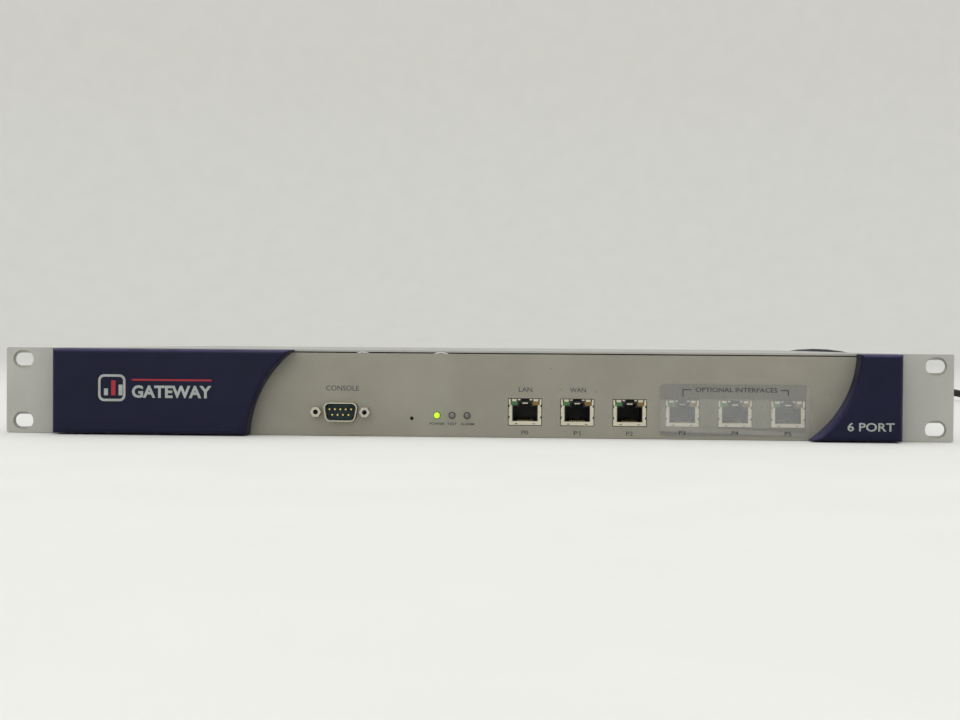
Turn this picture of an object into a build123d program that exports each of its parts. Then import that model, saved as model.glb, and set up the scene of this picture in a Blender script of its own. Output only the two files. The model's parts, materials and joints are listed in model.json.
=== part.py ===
"""A one-unit, 19-inch rack-mount firewall appliance and the mains lead plugged into its back.

X runs to the right and Y to the back, seen from the front, and Z is up. The origin is at the middle of the
appliance's footprint. The model is laid out with Y = 0 on the front face of the panel and is moved along Y when
it is saved, so that the origin is halfway between the bezels' front and the rearmost piece.
"""

import os
from math import pi, radians, tan

from build123d import *

# ---- rack and case ----
RACK_W = 482.6            # over both ears
CASE_W = 431.8
CASE_D = 336.55           # panel face to rear wall
CASE_H = 44.1
SHEET = 1.2               # tray sheet
COVER_T = 1.0             # cover sheet
COVER_FRONT_Y = 1.0       # the cover overhangs the panel's back half
LIP_H = 11.0
FIT_GAP = 0.1

# ---- front panel and ears ----
PANEL_T = 2.0
PANEL_TOP_Z = 42.5
EAR_Z0 = 0.2
EAR_TOP_Z = 44.1
EAR_INNER_X = 205.0       # where the panel steps up to the ear's height, behind the bezel
EAR_T = 1.6               # bracket behind each ear
EAR_LEG_D = 52.0
SLOT_PITCH_X = 465.1
SLOT_PITCH_Z = 31.75
SLOT_W = 10.6
SLOT_H = 6.6
PANEL_SLOT_H = 9.2
EAR_SCREW_YS = (22.0, 42.0)

# ---- bezels ----
BEZEL_OUTER_X = 213.6
BEZEL_Z0 = 0.7
BEZEL_TOP_Z = 43.9
BEZEL_PROUD = 11.0
BEZEL_WALL = 2.2
BEZEL_EDGE_R = 2.2
LEFT_TOP_X, LEFT_FOOT_X, LEFT_SAG = -91.0, -114.1, 5.4
RIGHT_TOP_X, RIGHT_FOOT_X, RIGHT_SAG = 193.0, 169.4, 5.9
PEG_R = 2.0
LEFT_PEGS = ((-196.0, 22.0), (-158.0, 22.0), (-121.0, 10.0))
RIGHT_PEGS = ((198.0, 36.0), (198.0, 10.0), (184.0, 8.0))

# ---- network jacks ----
JACK_XS = (26.7, 53.2, 79.7, 106.2, 132.7, 159.2)
JACK_Z = 13.2
JACK_W, JACK_H, JACK_D = 16.6, 13.2, 21.0
JACK_RECESS = 0.2
JACK_SHELL_T = 0.3
MOUTH_W, MOUTH_Z0 = 13.0, -4.7        # heights from the middle of the shell
MOUTH_TOP_W, MOUTH_STEP_Z, MOUTH_Z1 = 14.7, 3.4, 5.95
CAVITY_W, CAVITY_Z0, CAVITY_Z1 = 11.9, -4.6, 2.8
CAVITY_D = 14.5
KEY_W, KEY_Z1 = 6.0, 4.6
LAMP_W, LAMP_H, LAMP_D = 3.5, 2.3, 4.0
LAMP_X, LAMP_Z = 5.5, 4.65
CONTACTS, CONTACT_PITCH, CONTACT_W = 8, 1.02, 0.45
JACK_CUT_GAP = 0.35

# ---- console port ----
CONSOLE_X, CONSOLE_Z = -67.2, 12.4
D_SHELL_W, D_SHELL_H, D_SHELL_R = 18.0, 9.6, 2.8
D_SHELL_T = 0.45
D_SLOPE = 10.0
D_SHELL_PROUD = 4.0
FLANGE_W, FLANGE_H, FLANGE_T = 30.8, 12.2, 0.8
JACKSCREW_PITCH, JACKSCREW_AF, JACKSCREW_L = 24.99, 4.8, 4.8
JACKSCREW_R = 1.45
PIN_R, PIN_PITCH, PIN_ROW = 0.45, 2.77, 1.42
PIN_FACE_Y, PIN_L = 1.8, 5.2

# ---- lights, reset and film ----
LED_R, LED_Z = 1.5, 11.05
LED_XS = (-18.16, -10.45, -2.74)
RESET_X, RESET_Z, PINHOLE_R = -31.0, 9.4, 0.95
RESET_BUTTON_R, RESET_TRAVEL, RUNNING_GAP = 1.2, 0.8, 0.05
RESET_FRONT_Y, RESET_BODY_Y, RESET_BORE_D = 3.0, 6.0, 3.2
FILM_X0, FILM_W, FILM_Z0, FILM_H, FILM_R, FILM_T = 94.7, 75.6, 1.8, 26.4, 2.1, 0.3

# ---- boards ----
BOARD_Z, BOARD_T = 4.7, 1.6
BOARD_X0, BOARD_X1, BOARD_Y0, BOARD_Y1 = -95.0, 186.0, 3.6, 205.0
SUPPLY_X0, SUPPLY_X1, SUPPLY_Y0, SUPPLY_Y1 = 60.0, 200.0, 216.0, 302.0
STUD_R, STUD_INSET, SCREW_R, HEAD_R, HEAD_H = 2.8, 6.0, 1.45, 2.75, 1.8
SCREW_HOLE_R = 1.55

# ---- rear wall ----
FAN_SIZE, FAN_D, FAN_HOLE_R, FAN_SCREW_PITCH = 40.0, 20.0, 19.0, 32.0
FAN_XS = (-160.0, -100.0, -40.0)
FAN_Z = 21.8
FAN_HUB_R, FAN_TIP_R, FAN_BLADES, FAN_AXLE_R = 10.0, 18.3, 7, 1.5
GUARD_T = 1.2
INLET_X, INLET_Z = 176.0, 21.5
INLET_W, INLET_H, INLET_FLANGE, INLET_D = 27.4, 20.2, 2.0, 17.0
INLET_FLANGE_T = 2.5
INLET_CAVITY_W, INLET_CAVITY_H, INLET_CAVITY_D = 24.6, 16.2, 14.5
BLADE_W, BLADE_H = 2.0, 4.0
BLADE_PLACES = ((-7.0, -1.2), (7.0, -1.2), (0.0, 3.0))
SWITCH_X, SWITCH_Z = 138.0, 21.5
SWITCH_W, SWITCH_H, SWITCH_FLANGE, SWITCH_FLANGE_T, SWITCH_D = 19.2, 12.8, 1.1, 1.8, 14.0
ROCKER_HOLE_W, ROCKER_HOLE_H, ROCKER_HOLE_D = 17.2, 10.6, 11.8
ROCKER_H, ROCKER_PIN_R, ROCKER_TILT = 10.2, 0.9, 10.0
ROCKER_PIVOT_IN = 3.0     # pivot's depth inside the rear wall's face

# ---- mains lead ----
CORD_R = 3.05
GRIP_W, GRIP_H, GRIP_L, RELIEF_L = 26.0, 18.5, 24.0, 22.0
COIL_X, COIL_Y = 470.0, 462.0
COIL_R0, COIL_R1, COIL_H = 24.0, 42.2, 18.4
PLUG_X, PLUG_Y = 515.3, 422.0
PLUG_W, PLUG_L, PLUG_H, PLUG_RELIEF_L = 25.0, 34.0, 20.0, 20.0
PRONG_W, PRONG_T, PRONG_L, PRONG_PITCH = 6.2, 1.5, 17.0, 12.7
PRONG_DROP, EARTH_RISE, EARTH_R = 4.5, 5.2, 2.35      # below and above the plug's middle
TIE_W, TIE_T = 12.0, 1.2

# ---- worked out from the sizes above ----
COVER_Z0 = CASE_H - COVER_T
BOARD_TOP = BOARD_Z + BOARD_T
WALL_IN_Y = CASE_D - SHEET
REAR_PROUD = INLET_FLANGE_T
SHIFT_Y = (BEZEL_PROUD - CASE_D - REAR_PROUD) / 2
EAR_MID_Z = (EAR_Z0 + EAR_TOP_Z) / 2
CORD_EXIT_Y = CASE_D + INLET_FLANGE_T + GRIP_L + RELIEF_L


def block(x0, x1, y0, y1, z0, z1):
    """A box between two corners."""
    return Pos((x0 + x1) / 2, (y0 + y1) / 2, (z0 + z1) / 2) * Box(x1 - x0, y1 - y0, z1 - z0)


def centred(x, z, width, height, y0, y1):
    """A box around a point of the front or rear, from y0 to y1."""
    return block(x - width / 2, x + width / 2, y0, y1, z - height / 2, z + height / 2)


def rod(x, z, radius, y0, y1):
    """A round bar along Y."""
    return Pos(x, (y0 + y1) / 2, z) * Rot(90, 0, 0) * Cylinder(radius, y1 - y0)


def post(x, y, radius, z0, z1):
    """A round bar along Z."""
    return Pos(x, y, (z0 + z1) / 2) * Cylinder(radius, z1 - z0)


def side_rod(y, z, radius, x0, x1):
    """A round bar along X."""
    return Pos((x0 + x1) / 2, y, z) * Rot(0, 90, 0) * Cylinder(radius, x1 - x0)


def along_y(sketch, y0, y1):
    """A sketch drawn in X and Z, extruded from y0 to y1."""
    return extrude(Plane.XZ.offset(-y1) * sketch, amount=y1 - y0, dir=(0, -1, 0))


def along_x(sketch, x0, x1):
    """A sketch drawn in Y and Z, extruded from x0 to x1."""
    return extrude(Plane.YZ.offset(x0) * sketch, amount=x1 - x0, dir=(1, 0, 0))


def save(node, *solids):
    """Write one node, moved to the origin that the whole model shares."""
    placed = [Pos(0, SHIFT_Y, 0) * solid for group in solids for solid in group.solids()]
    export_step(Compound(placed), f"parts/{node}.step")


def d_outline(x, z, width, height, radius):
    """The D shape of the console port, its long side on top."""
    lean = height * tan(radians(D_SLOPE))
    half = width / 2
    corners = ((-half, height / 2), (lean - half, -height / 2), (half - lean, -height / 2), (half, height / 2))
    outline = Polygon(*corners, align=None)
    return Pos(x, z) * fillet(outline.vertices(), radius)


def slot_places():
    """Middles of the four rack slots."""
    for x in (-SLOT_PITCH_X / 2, SLOT_PITCH_X / 2):
        for z in (EAR_MID_Z - SLOT_PITCH_Z / 2, EAR_MID_Z + SLOT_PITCH_Z / 2):
            yield x, z


def rack_slots(height, y0, y1):
    """Cutters for the four rack slots."""
    return [along_y(Pos(x, z) * SlotOverall(SLOT_W, height), y0, y1) for x, z in slot_places()]


def jackscrew_xs():
    return CONSOLE_X - JACKSCREW_PITCH / 2, CONSOLE_X + JACKSCREW_PITCH / 2


def fan_screw_places(x):
    half = FAN_SCREW_PITCH / 2
    return [(x + u * half, FAN_Z + v * half) for u in (-1, 1) for v in (-1, 1)]


def cover_screw_ys():
    return 90.0, 180.0, 280.0


# ------------------------------------------------------------------ case


def chassis_base():
    """The tray: floor, two sides with vents, rear wall with its openings, and front flanges."""
    half = CASE_W / 2
    tray = block(-half, half, PANEL_T, CASE_D, 0, COVER_Z0)
    tray -= block(-half + SHEET, half - SHEET, PANEL_T - 1, WALL_IN_Y, SHEET, COVER_Z0 + 1)
    for side in (-1, 1):
        x0, x1 = sorted((side * (half - SHEET), side * (half - 14)))
        tray += block(x0, x1, PANEL_T, PANEL_T + SHEET, SHEET, COVER_Z0 - 2)
    tray += block(-half + SHEET, half - SHEET, PANEL_T, PANEL_T + SHEET, SHEET, BOARD_Z - 0.6)
    tray -= centred(INLET_X, INLET_Z, INLET_W + FIT_GAP, INLET_H + FIT_GAP, WALL_IN_Y - 1, CASE_D + 1)
    tray -= centred(SWITCH_X, SWITCH_Z, SWITCH_W + FIT_GAP, SWITCH_H + FIT_GAP, WALL_IN_Y - 1, CASE_D + 1)
    for x in FAN_XS:
        tray -= rod(x, FAN_Z, FAN_HOLE_R, WALL_IN_Y - 1, CASE_D + 1)
        for u, v in fan_screw_places(x):
            tray -= rod(u, v, SCREW_HOLE_R, WALL_IN_Y - 1, CASE_D + 1)
    holes = [side_rod(y, COVER_Z0 - LIP_H / 2, SCREW_HOLE_R, -half - 1, half + 1) for y in cover_screw_ys()]
    holes += [side_rod(y, EAR_MID_Z, SCREW_HOLE_R, -half - 1, half + 1) for y in EAR_SCREW_YS]
    vents = [
        along_x(Pos(y, z) * Rot(0, 0, 90) * SlotOverall(11, 3), -half - 1, half + 1)
        for y in range(110, 251, 7)
        for z in (10.0, 24.0)
    ]
    return tray - holes - vents


def top_cover():
    """The lid, with a lip down the inside of each side wall."""
    half = CASE_W / 2
    cover = block(-half, half, COVER_FRONT_Y, CASE_D, COVER_Z0, CASE_H)
    for side in (-1, 1):
        x0, x1 = sorted((side * (EAR_INNER_X - 1), side * (half + 1)))
        cover -= block(x0, x1, 0, PANEL_T, COVER_Z0 - 1, CASE_H + 1)
        x0, x1 = sorted((side * (half - SHEET - FIT_GAP), side * (half - SHEET - FIT_GAP - COVER_T)))
        cover += block(x0, x1, 60, WALL_IN_Y - FAN_D - 4, COVER_Z0 - LIP_H, COVER_Z0)
    holes = [side_rod(y, COVER_Z0 - LIP_H / 2, SCREW_HOLE_R, -half - 1, half + 1) for y in cover_screw_ys()]
    return cover - holes


def front_panel():
    """The face plate, with taller ears and every port's cut-out."""
    panel = block(-RACK_W / 2, RACK_W / 2, 0, PANEL_T, EAR_Z0, EAR_TOP_Z)
    panel -= block(-EAR_INNER_X, EAR_INNER_X, -1, PANEL_T + 1, PANEL_TOP_Z, EAR_TOP_Z + 1)
    corners = panel.edges().filter_by(Axis.Y).group_by(Axis.X)
    panel = fillet(corners[0] + corners[-1], 1.0)
    panel -= rack_slots(PANEL_SLOT_H, -1, PANEL_T + 1)
    width, height = JACK_W + 2 * JACK_CUT_GAP, JACK_H + 2 * JACK_CUT_GAP
    panel -= [centred(x, JACK_Z, width, height, -1, PANEL_T + 1) for x in JACK_XS]
    opening = d_outline(CONSOLE_X, CONSOLE_Z, D_SHELL_W + 0.8, D_SHELL_H + 0.8, D_SHELL_R + 0.4)
    panel -= along_y(opening, -1, PANEL_T + 1)
    panel -= [rod(x, CONSOLE_Z, JACKSCREW_R + 0.15, -1, PANEL_T + 1) for x in jackscrew_xs()]
    panel -= [rod(x, LED_Z, LED_R + 0.05, -1, PANEL_T + 1) for x in LED_XS]
    panel -= rod(RESET_X, RESET_Z, PINHOLE_R, -1, PANEL_T + 1)
    panel -= [rod(x, z, PEG_R + 0.1, -1, PANEL_T + 1) for x, z in LEFT_PEGS + RIGHT_PEGS]
    return panel


def rack_ear(side):
    """The bracket behind one ear, its leg screwed to the case's side."""
    half = CASE_W / 2
    flange_y = PANEL_T + EAR_T
    x0, x1 = sorted((side * half, side * RACK_W / 2))
    ear = block(x0, x1, PANEL_T, flange_y, EAR_Z0, EAR_TOP_Z)
    x0, x1 = sorted((side * half, side * (half + EAR_T)))
    ear += block(x0, x1, PANEL_T, EAR_LEG_D, EAR_Z0 + 1.5, EAR_TOP_Z - 1.5)
    ear -= rack_slots(SLOT_H, PANEL_T - 1, flange_y + 1)
    return ear - [side_rod(y, EAR_MID_Z, SCREW_HOLE_R, x0 - 1, x1 + 1) for y in EAR_SCREW_YS]


def bezel_outline(outer_x, top_x, foot_x, sag):
    """A bezel's face: straight at the ear, its inner edge an arc that sags towards the ear."""
    chord = Vector(top_x - foot_x, BEZEL_TOP_Z - BEZEL_Z0)
    outward = Vector(chord.Y, -chord.X).normalized() * (1 if outer_x > 0 else -1)
    middle = Vector(foot_x, BEZEL_Z0) + chord * 0.5 + outward * sag
    edge = [
        Line((foot_x, BEZEL_Z0), (outer_x, BEZEL_Z0)),
        Line((outer_x, BEZEL_Z0), (outer_x, BEZEL_TOP_Z)),
        Line((outer_x, BEZEL_TOP_Z), (top_x, BEZEL_TOP_Z)),
        ThreePointArc((top_x, BEZEL_TOP_Z), middle, (foot_x, BEZEL_Z0)),
    ]
    return make_face(Wire(edge))


def bezel(outer_x, top_x, foot_x, sag, pegs):
    """A hollow moulded bezel with pegs that pass through the panel."""
    face = bezel_outline(outer_x, top_x, foot_x, sag)
    outer = along_y(face, -BEZEL_PROUD, 0)
    outer = fillet(outer.edges().group_by(Axis.Y)[0], BEZEL_EDGE_R)
    hollow = offset(face, -BEZEL_WALL, kind=Kind.INTERSECTION)
    outer -= along_y(hollow, BEZEL_WALL - BEZEL_PROUD, 1)
    return outer + [rod(x, z, PEG_R, BEZEL_WALL - BEZEL_PROUD, PANEL_T + 1.5) for x, z in pegs]


# ------------------------------------------------------------------ network jacks


def jack_mouth(x, y0, y1, gap):
    """The mouth of one jack: a plug-wide part below and a wider part for the lights above, less a gap all round."""
    half, top_half = MOUTH_W / 2 - gap, MOUTH_TOP_W / 2 - gap
    step = JACK_Z + MOUTH_STEP_Z
    mouth = block(x - half, x + half, y0, y1, JACK_Z + MOUTH_Z0 + gap, step + gap)
    return mouth + block(x - top_half, x + top_half, y0, y1, step + gap, JACK_Z + MOUTH_Z1 - gap)


def jack_shell(x):
    """The folded metal shield of one jack."""
    back = JACK_RECESS + JACK_D
    shell = centred(x, JACK_Z, JACK_W, JACK_H, JACK_RECESS, back)
    inner_w, inner_h = JACK_W - 2 * JACK_SHELL_T, JACK_H - 2 * JACK_SHELL_T
    shell -= centred(x, JACK_Z, inner_w, inner_h, JACK_RECESS + JACK_SHELL_T, back + 1)
    return shell - jack_mouth(x, -1, JACK_RECESS + JACK_SHELL_T + 1, 0)


def jack_insert(x):
    """The plastic housing of one jack, with its plug cavity, latch key and light pockets."""
    face_y = JACK_RECESS + JACK_SHELL_T
    width, height = JACK_W - 2 * JACK_SHELL_T - FIT_GAP, JACK_H - 2 * JACK_SHELL_T - FIT_GAP
    body = centred(x, JACK_Z, width, height, face_y, JACK_RECESS + JACK_D)
    body += jack_mouth(x, JACK_RECESS + 0.05, face_y, FIT_GAP / 2)
    half = CAVITY_W / 2
    floor, roof = JACK_Z + CAVITY_Z0, JACK_Z + CAVITY_Z1
    body -= block(x - half, x + half, -1, JACK_RECESS + CAVITY_D, floor, roof)
    body -= block(x - KEY_W / 2, x + KEY_W / 2, -1, JACK_RECESS + CAVITY_D, floor, JACK_Z + KEY_Z1)
    for side in (-1, 1):
        body -= centred(x + side * LAMP_X, JACK_Z + LAMP_Z, LAMP_W, LAMP_H, -1, JACK_RECESS + LAMP_D)
    return body


def jack_contacts(x):
    """Eight springy contacts that rise from the cavity's floor towards the back."""
    low, high, back = JACK_Z + CAVITY_Z0 + 0.05, JACK_Z - 3.2, JACK_RECESS + CAVITY_D
    points = ((2.0, low), (2.0, low + 0.3), (back - 3, high), (back, high), (back, high - 0.3), (back - 3, high - 0.3))
    strip = Polygon(*points, align=None)
    first = x - CONTACT_PITCH * (CONTACTS - 1) / 2
    starts = [first + i * CONTACT_PITCH - CONTACT_W / 2 for i in range(CONTACTS)]
    return [along_x(strip, start, start + CONTACT_W) for start in starts]


def jack_lamp(x, side):
    """One light window of a jack."""
    y1 = JACK_RECESS + LAMP_D
    return centred(x + side * LAMP_X, JACK_Z + LAMP_Z, LAMP_W - FIT_GAP, LAMP_H - FIT_GAP, JACK_RECESS, y1)


# ------------------------------------------------------------------ console, lights, reset


def console_shell():
    """The metal D shell and its flange, clamped behind the panel."""
    flange_y = PANEL_T + FLANGE_T
    outline = d_outline(CONSOLE_X, CONSOLE_Z, D_SHELL_W, D_SHELL_H, D_SHELL_R)
    shell = along_y(outline, -D_SHELL_PROUD, flange_y)
    shell += centred(CONSOLE_X, CONSOLE_Z, FLANGE_W, FLANGE_H, PANEL_T, flange_y)
    shell -= along_y(offset(outline, -D_SHELL_T), -D_SHELL_PROUD - 1, flange_y + 1)
    return shell - [rod(x, CONSOLE_Z, JACKSCREW_R + 0.15, PANEL_T - 1, flange_y + 1) for x in jackscrew_xs()]


def console_insert():
    """The moulded pin carrier, standing on the board behind the flange."""
    flange_y = PANEL_T + FLANGE_T
    outline = d_outline(CONSOLE_X, CONSOLE_Z, D_SHELL_W, D_SHELL_H, D_SHELL_R)
    insert = along_y(offset(outline, -D_SHELL_T - 0.05), PIN_FACE_Y, flange_y)
    half = FLANGE_W / 2 - 6.0
    return insert + block(CONSOLE_X - half, CONSOLE_X + half, flange_y, 12, BOARD_TOP, CONSOLE_Z + FLANGE_H / 2)


def console_pins():
    """Five pins over four."""
    places = [((i - 2) * PIN_PITCH, PIN_ROW) for i in range(5)]
    places += [((i - 1.5) * PIN_PITCH, -PIN_ROW) for i in range(4)]
    return [rod(CONSOLE_X + u, CONSOLE_Z + v, PIN_R, PIN_FACE_Y - PIN_L, PIN_FACE_Y) for u, v in places]


def jackscrew(x):
    """A hexagonal jackscrew with a tapped mouth."""
    hexagon = Pos(x, CONSOLE_Z) * RegularPolygon(JACKSCREW_AF / 2, 6, major_radius=False)
    screw = along_y(hexagon, -JACKSCREW_L, 0) - rod(x, CONSOLE_Z, 1.25, -JACKSCREW_L - 1, -0.8)
    return screw + rod(x, CONSOLE_Z, JACKSCREW_R, 0, PANEL_T + FLANGE_T + 2)


def led(x):
    """A round indicator light, with its rim behind the panel and two legs down to the board."""
    straight = 0.6
    light = rod(x, LED_Z, LED_R, -straight, 5) + Pos(x, -straight, LED_Z) * Sphere(LED_R)
    light += rod(x, LED_Z, LED_R + 0.4, PANEL_T + 0.1, PANEL_T + 1.1)
    for side in (-1, 1):
        u = x + side * 0.8
        light += block(u - 0.25, u + 0.25, 5, 7, LED_Z - 0.25, LED_Z + 0.25)
        light += block(u - 0.25, u + 0.25, 6.5, 7, BOARD_TOP, LED_Z)
    return light


def reset_switch():
    """The body of the push switch behind the pinhole."""
    body = block(RESET_X - 3, RESET_X + 3, RESET_BODY_Y, RESET_BODY_Y + 6, BOARD_TOP, RESET_Z + 3)
    bore_r = RESET_BUTTON_R + RUNNING_GAP
    return body - rod(RESET_X, RESET_Z, bore_r, RESET_BODY_Y - 1, RESET_BODY_Y + RESET_BORE_D)


def reset_button():
    """The plunger, drawn released."""
    return rod(RESET_X, RESET_Z, RESET_BUTTON_R, RESET_FRONT_Y, RESET_BODY_Y + RESET_BORE_D - RESET_TRAVEL - 0.2)


def port_cover_film():
    """The printed film stuck over the last three jacks."""
    sheet = Pos(FILM_X0 + FILM_W / 2, FILM_Z0 + FILM_H / 2) * RectangleRounded(FILM_W, FILM_H, FILM_R)
    return along_y(sheet, -FILM_T, 0)


# ------------------------------------------------------------------ rear wall


def chamfered_block(x, z, width, height, y0, y1, cut):
    """A block along Y with its two upper corners cut off, as a mains inlet has."""
    half, top = width / 2, height / 2
    points = ((-half, -top), (half, -top), (half, top - cut), (half - cut, top), (cut - half, top), (-half, top - cut))
    return along_y(Pos(x, z) * Polygon(*points, align=None), y0, y1)


def mains_inlet():
    """The snap-in mains inlet with its recess."""
    face_y = CASE_D + INLET_FLANGE_T
    border = 2 * INLET_FLANGE
    inlet = centred(INLET_X, INLET_Z, INLET_W, INLET_H, CASE_D - INLET_D, CASE_D)
    inlet += centred(INLET_X, INLET_Z, INLET_W + border, INLET_H + border, CASE_D, face_y)
    floor_y = CASE_D - INLET_CAVITY_D
    return inlet - chamfered_block(INLET_X, INLET_Z, INLET_CAVITY_W, INLET_CAVITY_H, floor_y, face_y + 1, 4.0)


def inlet_blades():
    """Live, neutral and earth blades, rooted in the recess's floor."""
    y0 = CASE_D - INLET_CAVITY_D
    return [centred(INLET_X + u, INLET_Z + v, BLADE_W, BLADE_H, y0, y0 + 14) for u, v in BLADE_PLACES]


def switch_frame():
    """The rocker switch's frame, with bores for the rocker's stub pins."""
    face_y = CASE_D + SWITCH_FLANGE_T
    border = 2 * SWITCH_FLANGE
    frame = centred(SWITCH_X, SWITCH_Z, SWITCH_W, SWITCH_H, CASE_D - SWITCH_D, CASE_D)
    frame += centred(SWITCH_X, SWITCH_Z, SWITCH_W + border, SWITCH_H + border, CASE_D, face_y)
    hole_y = face_y - ROCKER_HOLE_D
    frame -= centred(SWITCH_X, SWITCH_Z, ROCKER_HOLE_W, ROCKER_HOLE_H, hole_y, face_y + 1)
    pin_r = ROCKER_PIN_R + RUNNING_GAP
    half = ROCKER_HOLE_H / 2 + 0.9
    return frame - post(SWITCH_X, CASE_D - ROCKER_PIVOT_IN, pin_r, SWITCH_Z - half, SWITCH_Z + half)


def power_rocker():
    """The rocker, switched on: its right half is pressed in."""
    points = ((-7.3, 4.2), (-6.4, -1.5), (6.4, -1.5), (7.3, 4.2), (0, 3.2))
    side = Rot(0, 0, -ROCKER_TILT) * Polygon(*points, align=None)
    bottom = SWITCH_Z - ROCKER_H / 2
    pivot_y = CASE_D - ROCKER_PIVOT_IN
    rocker = Pos(SWITCH_X, pivot_y, bottom) * extrude(side, amount=ROCKER_H, dir=(0, 0, 1))
    reach = ROCKER_HOLE_H / 2 + 0.7
    return rocker + post(SWITCH_X, pivot_y, ROCKER_PIN_R, SWITCH_Z - reach, SWITCH_Z + reach)


def fan_frame(x):
    """A fan's square frame, its bearing hub held by four struts at the rear."""
    y0, y1 = WALL_IN_Y - FAN_D, WALL_IN_Y
    frame = centred(x, FAN_Z, FAN_SIZE, FAN_SIZE, y0, y1) - rod(x, FAN_Z, FAN_HOLE_R, y0 - 1, y1 + 1)
    frame += rod(x, FAN_Z, FAN_HUB_R, y1 - 2.5, y1)
    for turn in range(4):
        strut = block(FAN_HUB_R - 1, FAN_HOLE_R + 1, y1 - 2.5, y1 - 0.5, -0.8, 0.8)
        frame += Pos(x, 0, FAN_Z) * Rot(0, 45 + 90 * turn, 0) * strut
    frame -= rod(x, FAN_Z, FAN_AXLE_R + RUNNING_GAP, y1 - 2.5 - 1, y1 - 0.8)
    return frame - [rod(u, v, SCREW_HOLE_R, y0 - 1, y1 + 1) for u, v in fan_screw_places(x)]


def fan_rotor(x):
    """The hub, its swept blades and the axle that runs in the frame's bearing."""
    y0, y1 = WALL_IN_Y - FAN_D + 1.5, WALL_IN_Y - 3.2
    middle = (y0 + y1) / 2
    rotor = rod(0, 0, FAN_HUB_R, y0, y1) + rod(0, 0, FAN_AXLE_R, y1, y1 + 2.2)
    reach = FAN_TIP_R - 0.3 - FAN_HUB_R
    for i in range(FAN_BLADES):
        blade = Pos(FAN_HUB_R + reach / 2 - 0.4, middle, 0) * Rot(38, 0, 0) * Box(reach + 0.8, 14, 1.1)
        rotor += Rot(0, 360 / FAN_BLADES * i, 0) * blade
    rotor &= rod(0, 0, FAN_TIP_R, y0, y1 + 2.2)
    return Pos(x, 0, FAN_Z) * rotor


def fan_guard(x):
    """A stamped finger guard: three rings on two crossed arms that reach the screws."""
    y0, y1 = CASE_D, CASE_D + GUARD_T
    guard = rod(x, FAN_Z, 4.5, y0, y1)
    for radius in (9.0, 13.5, 18.0):
        guard += rod(x, FAN_Z, radius, y0, y1) - rod(x, FAN_Z, radius - 1.4, y0 - 1, y1 + 1)
    reach = FAN_SCREW_PITCH / 2 * 2**0.5 + 3.2
    for turn in (45, 135):
        arm = block(-reach, reach, y0, y1, -1.0, 1.0)
        guard += Pos(x, 0, FAN_Z) * Rot(0, turn, 0) * arm
    for u, v in fan_screw_places(x):
        guard += rod(u, v, 3.2, y0, y1)
        guard -= rod(u, v, SCREW_HOLE_R, y0 - 1, y1 + 1)
    return guard


# ------------------------------------------------------------------ inside the case


def stud_places(x0, x1, y0, y1, front_inset):
    """Where a board is held: near its corners and at the middle of its long sides."""
    ys = y0 + front_inset, y1 - STUD_INSET
    return [(x, y) for x in (x0 + STUD_INSET, (x0 + x1) / 2, x1 - STUD_INSET) for y in ys]


def main_studs():
    return stud_places(BOARD_X0, BOARD_X1, BOARD_Y0, BOARD_Y1, JACK_D + 5)


def supply_studs():
    return stud_places(SUPPLY_X0, SUPPLY_X1, SUPPLY_Y0, SUPPLY_Y1, STUD_INSET)


def board(x0, x1, y0, y1, studs):
    """A circuit board with its screw holes."""
    sheet = block(x0, x1, y0, y1, BOARD_Z, BOARD_TOP)
    return sheet - [post(x, y, SCREW_HOLE_R, BOARD_Z - 1, BOARD_TOP + 1) for x, y in studs]


def standoffs():
    """Hexagonal pillars under both boards."""
    pillars = []
    for x, y in main_studs() + supply_studs():
        hexagon = Pos(x, y, SHEET) * RegularPolygon(STUD_R, 6, major_radius=False)
        pillars.append(extrude(hexagon, amount=BOARD_Z - SHEET) - post(x, y, SCREW_HOLE_R, SHEET - 1, BOARD_Z + 1))
    return pillars


def screws():
    """Every pan-head screw: boards, cover, ear brackets and fans."""
    group = []
    for x, y in main_studs() + supply_studs():
        group.append(post(x, y, HEAD_R, BOARD_TOP, BOARD_TOP + HEAD_H) + post(x, y, SCREW_R, SHEET + 0.4, BOARD_TOP))
    half = CASE_W / 2
    for side in (-1, 1):
        for y in cover_screw_ys():
            group.append(side_screw(side, half, y, COVER_Z0 - LIP_H / 2, 5.0))
        for y in EAR_SCREW_YS:
            group.append(side_screw(side, half + EAR_T, y, EAR_MID_Z, 5.0))
    for x in FAN_XS:
        for u, v in fan_screw_places(x):
            face_y = CASE_D + GUARD_T
            group.append(rod(u, v, 2.4, face_y, face_y + 1.2) + rod(u, v, SCREW_R, face_y - 12, face_y))
    return group


def side_screw(side, face_x, y, z, length):
    """A screw through a side wall, its head outside."""
    head = sorted((side * face_x, side * (face_x + HEAD_H)))
    shank = sorted((side * face_x, side * (face_x - length)))
    return side_rod(y, z, HEAD_R, *head) + side_rod(y, z, SCREW_R, *shank)


def processor():
    return block(-52, -14, 92, 130, BOARD_TOP, BOARD_TOP + 4.2)


def heatsink():
    """A finned block that stands on the processor."""
    base_z = BOARD_TOP + 4.2
    sink = block(-68, 2, 76, 146, base_z, base_z + 4)
    return sink + [block(x, x + 1.2, 76, 146, base_z + 4, 36) for x in range(-68, 2, 5)]


def memory_module():
    """A low memory module, lying flat in its socket."""
    module = block(60, 127.6, 120, 150, BOARD_TOP + 3.0, BOARD_TOP + 4.0)
    return module + [block(x, x + 12, 127, 145, BOARD_TOP + 4.0, BOARD_TOP + 5.1) for x in (63, 78, 98, 113)]


def flash_card():
    return block(140, 176.4, 120, 162.8, BOARD_TOP + 1.5, BOARD_TOP + 4.8)


def clock_battery():
    return post(30, 170, 10, BOARD_TOP + 1.0, BOARD_TOP + 4.2)


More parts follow.
